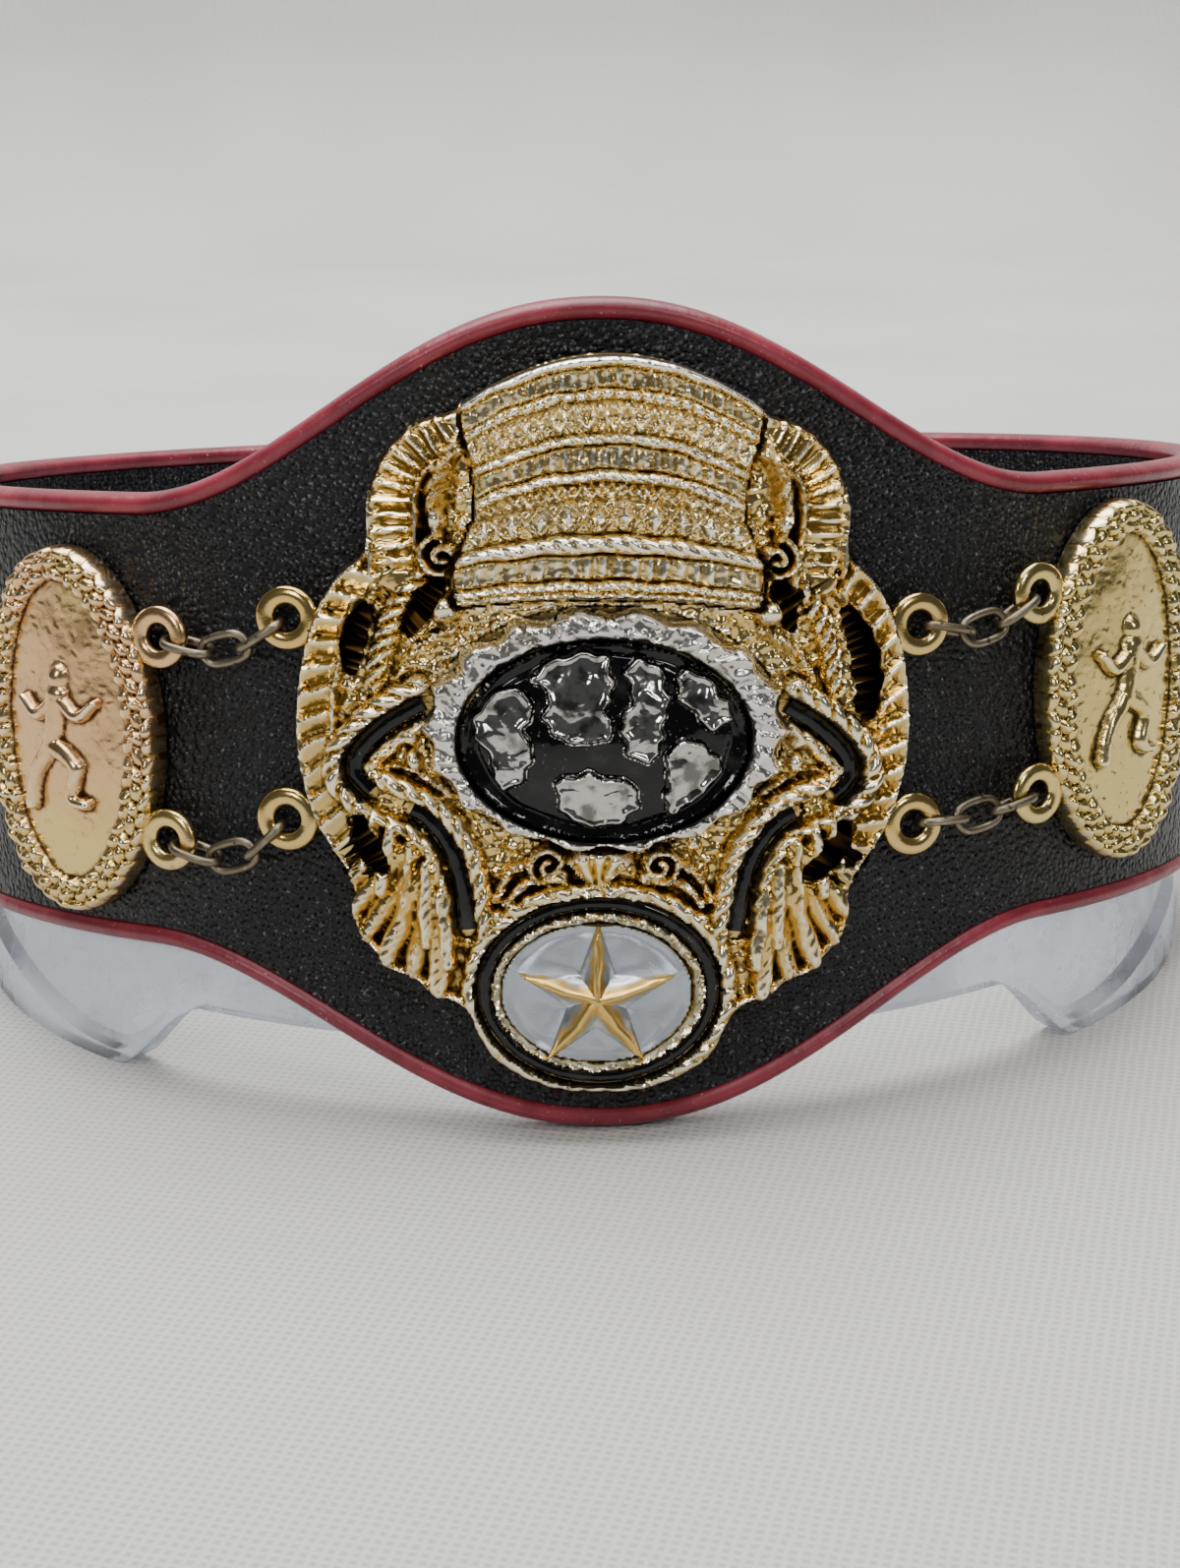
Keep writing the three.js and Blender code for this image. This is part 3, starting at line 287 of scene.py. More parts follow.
@dataclass(frozen=True)
class Chevrons:
    """A zigzag line that runs from edge to edge of its band."""

    pitch: float
    thickness: float = 0.35

    def __call__(self, along: Array, across: Array) -> Array:
        """Height as a share, at a length along the band and a share across it."""
        swing = 1.5 * (np.abs(2 * (along / self.pitch - np.floor(along / self.pitch + 0.5))) * 2 - 1) / 2
        line = 1 - np.abs(across - swing) / self.thickness
        dots = 1 - np.abs(across + swing) / (0.7 * self.thickness)
        return 0.35 + 0.65 * np.clip(np.maximum(line, 0.7 * dots), 0, 1)


@dataclass(frozen=True)
class Diamonds:
    """Pyramids in a row with crossed bars round them."""

    pitch: float

    def __call__(self, along: Array, across: Array) -> Array:
        """Height as a share, at a length along the row and a share across it."""
        step = 2 * np.abs(along / self.pitch - np.floor(along / self.pitch) - 0.5)
        inside = 1 - (step + np.abs(across))
        bar = 1 - np.abs(step + np.abs(across) - 1) / 0.28
        return 0.3 + 0.7 * np.clip(np.maximum(1.2 * inside, bar), 0, 1)


def wander(x: Array, y: Array, size: float, seed: float) -> Array:
    """A slow drift from -1 to 1, as in a model cut by hand, over so many millimetres."""
    first = np.sin(1.7 * x / size + seed + 1.3 * np.sin(1.1 * y / size + 2 * seed))
    return (first + np.sin(2.3 * y / size - 1.7 * seed + 0.9 * np.sin(1.9 * x / size))) / 2


def scatter(x: Array, y: Array, size: float, seed: float) -> tuple[Array, Array]:
    """Lumps spread at random: each point's distance to the nearest lump and that lump's own number.

    Args:
        x: first coordinates.
        y: second coordinates.
        size: how far apart the lumps are on average, in the same unit.
        seed: the number that the spread comes from.

    Returns:
        tuple[Array, Array]: distances as shares of size, and numbers from 0 to 1.
    """
    column, row = np.floor(x / size), np.floor(y / size)
    best, own = np.full(x.shape, np.inf), np.zeros(x.shape)
    for i in (-1, 0, 1):
        for j in (-1, 0, 1):
            cx, cy = column + i, row + j
            first = np.sin(cx * 127.1 + cy * 311.7 + seed) * 43758.5453 % 1
            second = np.sin(cx * 269.5 + cy * 183.3 + seed) * 43758.5453 % 1
            apart = np.hypot(x / size - cx - first, y / size - cy - second)
            nearer = apart < best
            best, own = np.where(nearer, apart, best), np.where(nearer, second, own)
    return best, own


class Relief:
    """The height of a cast face over its flat back plate, on a grid of points."""

    def __init__(self, x: Array, y: Array) -> None:
        """Starts flat.

        Args:
            x: first coordinates of the grid, row by row.
            y: second coordinates of the grid.
        """
        self.true_x = x
        self.true_y = y
        self.x = x + 0.08 * wander(x, y, 0.9, 1.0)
        self.y = y + 0.08 * wander(x, y, 0.9, 4.0)
        self.rise = np.zeros(x.shape)

    def cord(
        self,
        line: Line,
        width: float,
        rise: float,
        pattern: Pattern | None = None,
        section: Section = Section.ROUND,
        taper: Callable[[Array], Array] | None = None,
        foot: float = 0.0,
    ) -> None:
        """Raises a cord, band or blade along a line where it stands higher than what is there.

        Args:
            line: the middle of the cord.
            width: its full width.
            rise: its height over the back plate.
            pattern: what repeats along it, as a share of its height.
            section: how it is shaped across.
            taper: its width as a share, at a share of its length.
            foot: height over the back plate from which it rises.
        """
        near = line.near(self.x, self.y, width)
        half = width / 2 * (taper(near.along / line.length) if taper else 1.0)
        share = near.distance / np.maximum(half, 1e-6)
        shape = section.height(share)
        if pattern:
            shape = shape * pattern(near.along, near.across / np.maximum(half, 1e-6))
        raised = foot + (rise - foot) * shape
        self.rise = np.where(share < 1, np.maximum(self.rise, raised), self.rise)

    def ball(
        self, x: float, y: float, radius: float, rise: float, long: float = 1.0, turn: float = 0.0
    ) -> None:
        """Raises a round or long drop.

        Args:
            x: its middle.
            y: its middle.
            radius: half its width.
            rise: its height.
            long: its length over its width.
            turn: the angle of its length, in degrees from x.
        """
        c, s = math.cos(math.radians(turn)), math.sin(math.radians(turn))
        u = ((self.x - x) * c + (self.y - y) * s) / (radius * long)
        v = (-(self.x - x) * s + (self.y - y) * c) / radius
        inside = np.clip(1 - u**2 - v**2, 0, 1)
        self.rise = np.maximum(self.rise, rise * np.sqrt(inside))

    def lumps(self, size: float, rise: float, seed: float, where: Array) -> None:
        """Raises rough cast lumps over a part of the face.

        Args:
            size: the lumps' spacing.
            rise: their height.
            seed: the number that their spread comes from.
            where: how much of them shows at each point, from 0 to 1.
        """
        apart, own = scatter(self.x, self.y, size, seed)
        lump = np.clip(1 - apart / 0.75, 0, 1) ** 0.6 * (0.45 + 0.55 * own)
        self.rise = np.maximum(self.rise, where * rise * lump)

    def sink(self, where: Array, level: float = 0.0) -> None:
        """Lowers the face to a level where an inlaid piece sits."""
        self.rise = np.where(where, np.minimum(self.rise, level), self.rise)

    def hollow(self, reach: int) -> Array:
        """How deep each point lies under what is round it.

        Args:
            reach: how many grid steps round a point count.

        Returns:
            Array: millimetres under the mean of its surroundings, negative on a crest.
        """
        mean = self.rise.copy()
        for axis in (0, 1):
            for _ in range(2):
                shifted = [np.roll(mean, k, axis=axis) for k in range(-reach, reach + 1)]
                mean = sum(shifted) / len(shifted)
        return mean - self.rise


# The loop and the modelling steps


@dataclass(frozen=True)
class Loop:
    """The oval that the belt is closed into, the strap's outline, and how it leans on its overlap."""

    half_width: float = 44.0
    half_depth: float = 36.0
    lobe_height: float = 50.0
    lobe_reach: float = 29.3
    lobe_sharpness: float = 1.08
    narrow_height: float = 28.4
    narrow_share: float = 0.479
    strap: float = 1.8
    bead_proud: float = 0.25
    lap_gap: float = 0.35
    lap_rise: float = 20.0
    lap_lead: float = 1.0
    overlap: float = 14.0
    lift: float = -4.864
    shift_x: float = 0.016
    shift_y: float = -3.176
    steps: int = 4000

    @property
    def narrow_bottom(self) -> float:
        """Height of the narrow part's lower edge."""
        return self.narrow_share * (self.lobe_height - self.narrow_height)

    @property
    def bead_depth(self) -> float:
        """Thickness of the piping, front to back."""
        return self.strap + 2 * self.bead_proud

    @property
    def lap_step(self) -> float:
        """How far out the end of the strap lies on its overlap."""
        return self.bead_depth + self.lap_gap

    @property
    def tilt(self) -> float:
        """How far the belt leans back, in radians."""
        return math.atan2(self.narrow_bottom, 2 * self.half_depth + self.lap_step)

    def table(self) -> tuple[Array, Array]:
        """Angles round the loop and the lengths along it."""
        angles = np.linspace(0, 2 * math.pi, self.steps + 1)
        middles = (angles[:-1] + angles[1:]) / 2
        speeds = np.hypot(self.half_width * np.cos(middles), self.half_depth * np.sin(middles))
        return angles, np.concatenate([[0.0], np.cumsum(speeds * (2 * math.pi / self.steps))])

    @property
    def length(self) -> float:
        """The whole way round."""
        return float(self.table()[1][-1])

    def bell(self, x: Array) -> Array:
        """How much of the front lobe shows at a length along the strap."""
        share = np.minimum(np.abs(x) / self.lobe_reach, 1) ** self.lobe_sharpness
        return (1 + np.cos(math.pi * share)) / 2

    def top(self, x: Array) -> Array:
        """Height of the strap's upper edge."""
        narrow = self.narrow_bottom + self.narrow_height
        return narrow + (self.lobe_height - narrow) * self.bell(x)

    def bottom(self, x: Array) -> Array:
        """Height of the strap's lower edge."""
        return self.narrow_bottom * (1 - self.bell(x))

    def lap(self, x: Array) -> Array:
        """How far out the strap steps over its own end."""
        half = self.length / 2
        return self.lap_step * soft((x - half + self.lap_rise) / (self.lap_rise - self.lap_lead))

    def wrapped(self, flat: Array, lapped: bool = False) -> Array:
        """Places flat points round the leaning loop.

        Args:
            flat: rows of x, y and z in millimetres.
            lapped: whether they follow the strap over its overlap.

        Returns:
            Array: rows of x, y and z in metres, in the frame's own place.
        """
        angles, lengths = self.table()
        total = lengths[-1]
        x = flat[:, 0]
        z = flat[:, 2] + (self.lap(x) if lapped else 0)
        angle = np.interp(x % total, lengths, angles)
        sin, cos = np.sin(angle), np.cos(angle)
        nx, ny = self.half_depth * sin, -self.half_width * cos
        size = np.hypot(nx, ny)
        px = self.half_width * sin + z * nx / size
        py = -self.half_depth * cos + z * ny / size
        lean_sin, lean_cos = math.sin(self.tilt), math.cos(self.tilt)
        wx = px + self.shift_x
        wy = py * lean_cos + flat[:, 1] * lean_sin + self.shift_y
        wz = -py * lean_sin + flat[:, 1] * lean_cos + self.lift
        return np.column_stack([wx, wy, wz]) * MM


LOOP = Loop()


@dataclass(frozen=True)
class Heights:
    """Distances out from the middle of the strap at which the castings sit."""

    plate_back: float = 1.2
    plate_base: float = 2.1
    side_base: float = 2.2
    chain: float = 2.15
    inlay: float = 0.12


LEVEL = Heights()


def only(thing: bpy.types.Object) -> None:
    """Makes one object the only one that is selected, and the active one."""
    bpy.ops.object.select_all(action="DESELECT")
    thing.select_set(True)
    bpy.context.view_layer.objects.active = thing


def places(thing: bpy.types.Object) -> Array:
    """A mesh's points, one row each."""
    mesh = thing.data
    found = np.zeros(len(mesh.vertices) * 3)
    mesh.vertices.foreach_get("co", found)
    return found.reshape(-1, 3)


def move(thing: bpy.types.Object, points: Array) -> None:
    """Puts a mesh's points where the rows say."""
    thing.data.vertices.foreach_set("co", np.ascontiguousarray(points, float).ravel())
    thing.data.update()


def note(thing: bpy.types.Object, name: str, values: Array) -> None:
    """Keeps a number or three for each point of a mesh, for the material to read."""
    kind, part = ("FLOAT_VECTOR", "vector") if values.ndim == 2 else ("FLOAT", "value")
    kept = thing.data.attributes.get(name) or thing.data.attributes.new(name, kind, "POINT")
    kept.data.foreach_set(part, values.astype(np.float32).ravel())


def grid(name: str, columns: int, rows: int) -> bpy.types.Object:
    """Adds a flat grid of one by one with so many faces each way."""
    bpy.ops.object.select_all(action="DESELECT")
    bpy.ops.mesh.primitive_grid_add(x_subdivisions=columns, y_subdivisions=rows, size=1)
    made = bpy.context.active_object
    made.name = name
    made.data.name = name
    return made


def join(first: bpy.types.Object, *others: bpy.types.Object) -> bpy.types.Object:
    """Joins objects into the first one."""
    only(first)
    for other in others:
        other.select_set(True)
    bpy.ops.object.join()
    return first


def face_out(thing: bpy.types.Object) -> None:
    """Turns every face of a closed mesh outwards."""
    only(thing)
    bpy.ops.object.mode_set(mode="EDIT")
    bpy.ops.mesh.select_all(action="SELECT")
    bpy.ops.mesh.normals_make_consistent(inside=False)
    bpy.ops.object.mode_set(mode="OBJECT")


def wrap(thing: bpy.types.Object, lapped: bool = False) -> bpy.types.Object:
    """Wraps a flat piece round the loop and keeps its flat places for the material."""
    flat = places(thing)
    note(thing, "flat", flat)
    move(thing, LOOP.wrapped(flat, lapped))
    return thing


def tube(name: str, rings: Array, closed: bool) -> bpy.types.Object:
    """Rolls a grid into a closed tube through a row of rings.

    Args:
        name: the piece's name.
        rings: stations, points round each one, and three coordinates.
        closed: whether the last ring joins the first.

    Returns:
        bpy.types.Object: the tube, with its ends capped where it has ends.
    """
    around = np.concatenate([rings, rings[:, :1]], axis=1)
    if closed:
        around = np.concatenate([around, around[:1]], axis=0)
    made = grid(name, around.shape[1] - 1, around.shape[0] - 1)
    move(made, around.reshape(-1, 3))
    only(made)
    bpy.ops.object.mode_set(mode="EDIT")
    bpy.ops.mesh.select_all(action="SELECT")
    bpy.ops.mesh.remove_doubles(threshold=1e-5)
    if not closed:
        bpy.ops.mesh.select_all(action="DESELECT")
        bpy.ops.mesh.select_mode(type="EDGE")
        bpy.ops.mesh.select_non_manifold(extend=False, use_wire=False, use_multi_face=False, use_verts=False)
        bpy.ops.mesh.edge_face_add()
    bpy.ops.mesh.select_all(action="SELECT")
    bpy.ops.mesh.normals_make_consistent(inside=False)
    bpy.ops.object.mode_set(mode="OBJECT")
    return made


def finish(
    thing: bpy.types.Object,
    look: bpy.types.Material,
    nodes: Sequence[str],
    crease: float = 42.0,
) -> bpy.types.Object:
    """Gives a piece its finish, its body and the CAD nodes that it stands for, and reports it.

    Args:
        thing: the finished mesh, in place.
        look: its material.
        nodes: CAD nodes that it replaces.
        crease: edges sharper than this many degrees stay sharp.

    Returns:
        bpy.types.Object: the piece.
    """
    only(thing)
    bpy.ops.object.shade_smooth_by_angle(angle=math.radians(crease))
    thing.data.materials.clear()
    thing.data.materials.append(look)
    thing.name = thing.data.name = f"{nodes[0]}_dressed"
    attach(thing, BODY)
    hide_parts(*nodes)
    corners = [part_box(node) for node in nodes]
    low = np.min([list(c[0]) for c in corners], axis=0)
    high = np.max([list(c[1]) for c in corners], axis=0)
    own = places(thing)
    apart = max(np.abs(own.min(0) - low).max(), np.abs(own.max(0) - high).max()) / MM
    LOG.info("%s: %d points, %.2f mm off its solid's box", thing.name, len(own), apart)
    return thing


@dataclass
class Casting:
    """A flat-backed casting whose face is a relief."""

    name: str
    outline: Line
    back: float
    base: float
    pitch: float
    holes: list[Line] = field(default_factory=list)
    shoulder: float = 0.45
    rough: float = 0.03
    tone: Array | None = None

    def relief(self, face: Relief) -> None:
        """Raises the face. Each casting has its own.

        Args:
            face: the height of the face over the base.
        """
        raise NotImplementedError

    def flat(self) -> bpy.types.Object:
        """Cuts the casting out of a grid, raises its face and closes its back.

        Returns:
            bpy.types.Object: the casting, flat and in millimetres about its own middle.
        """
        low, high = self.outline.points.min(0) - self.pitch, self.outline.points.max(0) + self.pitch
        columns, rows = (max(4, int(round(size / self.pitch))) for size in high - low)
        made = grid(self.name, columns, rows)
        points = places(made)
        points[:, 0] = low[0] + (points[:, 0] + 0.5) * (high[0] - low[0])
        points[:, 1] = low[1] + (points[:, 1] + 0.5) * (high[1] - low[1])
        order = np.lexsort((points[:, 0].round(6), points[:, 1].round(6)))
        shape = (rows + 1, columns + 1)
        face = Relief(points[order, 0].reshape(shape), points[order, 1].reshape(shape))
        self.relief(face)
        self.grain(face)
        rounded = self.rounding(face)
        height, hollow = np.zeros(len(points)), np.zeros(len(points))
        height[order] = (self.back + (self.base - self.back + face.rise) * rounded).ravel()
        deep = face.hollow(max(2, int(round(0.35 / self.pitch))))
        for hole in self.holes:
            # Painted shade: the walls round each slot get a large hollow value, so the material paints them
            # near-black.
            deep += 3 * np.clip(1 + hole.depth(face.true_x, face.true_y, 0.5) / 0.22, 0, 1)
        hollow[order] = deep.ravel()
        if self.tone is not None:
            tone = np.zeros(len(points))
            tone[order] = self.tone.ravel()
            note(made, "tone", tone)
        move(made, points)
        note(made, "height", height)
        note(made, "hollow", hollow)
        self.cut(made)
        self.thicken(made)
        return made

    def grain(self, face: Relief) -> None:
        """Adds the slight unevenness that a casting has."""
        apart, own = scatter(face.x, face.y, 0.5, 3.7)
        face.rise = face.rise + self.rough * (own - 0.5) * np.clip(1.2 - apart, 0, 1)

    def rounding(self, face: Relief) -> Array:
        """How far the face is drawn in at its edges, as a share of its height."""
        depth = self.outline.depth(face.true_x, face.true_y, 2 * self.shoulder)
        for hole in self.holes:
            depth = np.minimum(depth, -hole.depth(face.true_x, face.true_y, 2 * self.shoulder))
        share = np.clip(depth / self.shoulder, 0, 1)
        return 0.4 + 0.6 * np.sqrt(1 - (1 - share) ** 2)

    def cut(self, made: bpy.types.Object) -> None:
        """Deletes what lies outside the outline or in a hole, and draws the edges onto their lines."""
        mesh = made.data
        middle = np.zeros(len(mesh.polygons) * 3)
        mesh.polygons.foreach_get("center", middle)
        x, y = middle.reshape(-1, 3)[:, 0], middle.reshape(-1, 3)[:, 1]
        lost = ~self.outline.holds(x, y)
        for hole in self.holes:
            lost |= hole.holds(x, y)
        bpy.context.tool_settings.mesh_select_mode = (False, False, True)
        mesh.polygons.foreach_set("select", lost)
        only(made)
        bpy.ops.object.mode_set(mode="EDIT")
        bpy.ops.mesh.delete(type="FACE")
        bpy.ops.object.mode_set(mode="OBJECT")
        edge_of = np.zeros(len(mesh.loops), np.int32)
        mesh.loops.foreach_get("edge_index", edge_of)
        ends = np.zeros(len(mesh.edges) * 2, np.int32)
        mesh.edges.foreach_get("vertices", ends)
        rim = np.unique(ends.reshape(-1, 2)[np.bincount(edge_of, minlength=len(mesh.edges)) == 1])
        points = places(made)
        best = np.full(len(rim), np.inf)
        for line in [self.outline, *self.holes]:
            near = line.near(points[rim, 0], points[rim, 1], 3 * self.pitch)
            nearer = near.distance < best
            best = np.where(nearer, near.distance, best)
            points[rim[nearer], 0] = near.x[nearer]
            points[rim[nearer], 1] = near.y[nearer]
        move(made, points)

    def thicken(self, made: bpy.types.Object) -> None:
        """Extrudes the sheet into a closed casting and thins the faces of its hidden back."""
        only(made)
        bpy.ops.object.mode_set(mode="EDIT")
        bpy.ops.mesh.select_all(action="SELECT")
        bpy.ops.mesh.extrude_region_move(TRANSFORM_OT_translate={"value": (0, 0, 1)})
        bpy.ops.object.mode_set(mode="OBJECT")
        mesh = made.data
        front = np.zeros(len(mesh.vertices), bool)
        mesh.vertices.foreach_get("select", front)
        height = np.zeros(len(mesh.vertices))
        mesh.attributes["height"].data.foreach_get("value", height)
        points = places(made)
        points[:, 2] = np.where(front, height, self.back)
        move(made, points)
        face_out(made)
        group = made.vertex_groups.new(name="back")
        group.add(np.nonzero(~front)[0].tolist(), 1.0, "REPLACE")
        thin = made.modifiers.new("thin_back", "DECIMATE")
        thin.ratio = 0.54
        thin.vertex_group = group.name
        bpy.ops.object.modifier_apply(modifier=thin.name)
        made.vertex_groups.clear()


def eyelet(
    x: float, y: float, radius: float = 1.95, hole: float = 0.8, thickness: float = 0.8
) -> bpy.types.Object:
    """A cast eye for a chain, flat in the strap's plane.

    Args:
        x: its middle.
        y: its middle.
        radius: outer radius.
        hole: radius of the hole.
        thickness: front to back.

    Returns:
        bpy.types.Object: a ring of round section, in flat millimetres.
    """
    bpy.ops.object.select_all(action="DESELECT")
    wall = (radius - hole) / 2
    bpy.ops.mesh.primitive_torus_add(
        major_segments=44, minor_segments=16, major_radius=radius - wall, minor_radius=wall, location=(0, 0, 0)
    )
    made = bpy.context.active_object
    points = places(made)
    points[:, 2] = np.sign(points[:, 2]) * np.abs(points[:, 2] / wall) ** 0.8 * thickness / 2
    move(made, points + np.array([x, y, LEVEL.chain]))
    return made


# The castings


PLATE_CENTRE = (0.15, 24.8)
PLATE_LEAN = math.radians(2.1)
GLOBE_OUTER = (0.0, 0.1, 10.2, 7.15)
GLOBE_INNER = (-0.1, -0.5, 8.1, 5.9)
FIELD = (-0.25, -15.9, 5.5, 4.25)
RING_ENAMEL = (-0.15, -15.75, 6.6, 5.35)
SIDE_ROPE = [(10.7, 2.5), (13.4, 0.7), (15.2, -1.4), (15.4, -3.4), (14.0, -5.0)]
LOWER_ROPE = [(12.4, -3.3), (9.6, -4.6), (7.8, -6.8), (7.0, -9.4), (6.6, -12.4)]
ROPE_WIDTH = 1.1
CHANNEL_WIDTH = 0.65
STRIP_WIDTH = 0.95
RING_WIDTH = 0.8
CHANNEL_APART = (ROPE_WIDTH + CHANNEL_WIDTH) / 2 + 0.18


def on_plate(thing: bpy.types.Object) -> bpy.types.Object:
    """Turns a piece by the main plate's lean, moves it to the plate's middle and wraps it."""
    flat = places(thing)
    note(thing, "own", flat)
    c, s = math.cos(PLATE_LEAN), math.sin(PLATE_LEAN)
    x = flat[:, 0] * c + flat[:, 1] * s + PLATE_CENTRE[0]
    y = -flat[:, 0] * s + flat[:, 1] * c + PLATE_CENTRE[1]
    move(thing, np.column_stack([x, y, flat[:, 2]]))
    return wrap(thing)


def both(line: Line) -> list[Line]:
    """A line and its mirror image across the plate."""
    return [line, line.flipped()]


def spiral(x: float, y: float, radius: float, turns: float, start: float, hand: int) -> Line:
    """A volute that winds in from its outer end.

    Args:
        x: its middle.
        y: its middle.
        radius: radius of its outer end.
        turns: how many times it winds.
        start: angle of its outer end, in degrees.
        hand: 1 to wind anticlockwise, -1 clockwise.

    Returns:
        Line: the volute.
    """
    t = np.linspace(0, 1, int(18 * turns))
    angle = math.radians(start) + hand * 2 * math.pi * turns * t
    reach = radius * (1 - 0.85 * t)
    return Line(np.column_stack([x + reach * np.cos(angle), y + reach * np.sin(angle)]), smooth=False)


def cut_slot(start: tuple[float, float], end: tuple[float, float], width: float, bow: float) -> Line:
    """The closed edge of a slot between two points, bowed to its left."""
    a, b = np.array(start), np.array(end)
    along = b - a
    across = np.array([-along[1], along[0]]) / np.hypot(*along)
    shares = (0.2, 0.5, 0.8)
    swell = [math.sin(math.pi * share) for share in shares]
    width += 0.15
    there = [a + along * t + across * (bow * w - width / 2 * math.sqrt(w)) for t, w in zip(shares, swell)]
    back = [a + along * t + across * (bow * w + width / 2 * math.sqrt(w)) for t, w in zip(shares, swell)]
    return Line([a, *there, b, *back[::-1]], closed=True, steps=6)


PLATE_EDGE = [
    (0, 22), (3, 21.6), (5.9, 20.5), (8.4, 19), (8.7, 18.6), (11, 17.8), (12.8, 15.9), (13.7, 13.2),
    (13.8, 10.6), (15.7, 8.6), (17.2, 5.4), (17.9, 1.6), (17.9, -1.8), (17.2, -4.8), (16.3, -6.8),
    (14.6, -9.4), (14.5, -11), (14.2, -12.6), (13.3, -13.7), (12.2, -14.9), (10.8, -15.4), (9.8, -16.3),
    (7.9, -17.1), (6.3, -20), (3.2, -21.7), (0, -22),
]
PLATE_SLOTS = [
    ((-13.7, 7.2), (-14.6, 3.0), 0.8, -0.3), ((13.7, 7.2), (15.3, 0.6), 1.1, 0.6),
    ((-9.5, 8.6), (-11.4, 5.6), 0.8, 0.0), ((9.7, 8.7), (10.5, 6.0), 0.6, 0.0),
    ((-14.1, -5.6), (-12.3, -8.6), 0.9, -0.2), ((14.2, -5.9), (11.6, -8.9), 0.9, 0.2),
]
FLIGHTS = [
    ((11.8, -6.9), (15.0, -9.9)), ((11.2, -7.2), (14.7, -11.7)), ((10.6, -7.6), (13.9, -13.3)),
    ((10.1, -8.2), (12.6, -14.7)), ((9.7, -9.0), (11.0, -15.6)), ((9.3, -10.2), (9.3, -16.5)),
]
COVERTS = [
    ((13.0, -5.6), (13.6, -8.4)), ((12.0, -6.0), (12.6, -9.9)), ((11.0, -6.9), (11.3, -11.4)),
    ((10.0, -8.2), (9.9, -12.9)), ((9.3, -10.0), (8.8, -14.2)),
]


def leaf_width(share: Array) -> Array:
    """A leaf's width as a share, full in its middle and less at both ends."""
    return 0.45 + 0.55 * np.sin(math.pi * share)


def plate_edge() -> Line:
    """The main plate's whole outline."""
    left = [(-x, y) for x, y in PLATE_EDGE[-2:0:-1]]
    return Line([*PLATE_EDGE, *left], closed=True, steps=5)


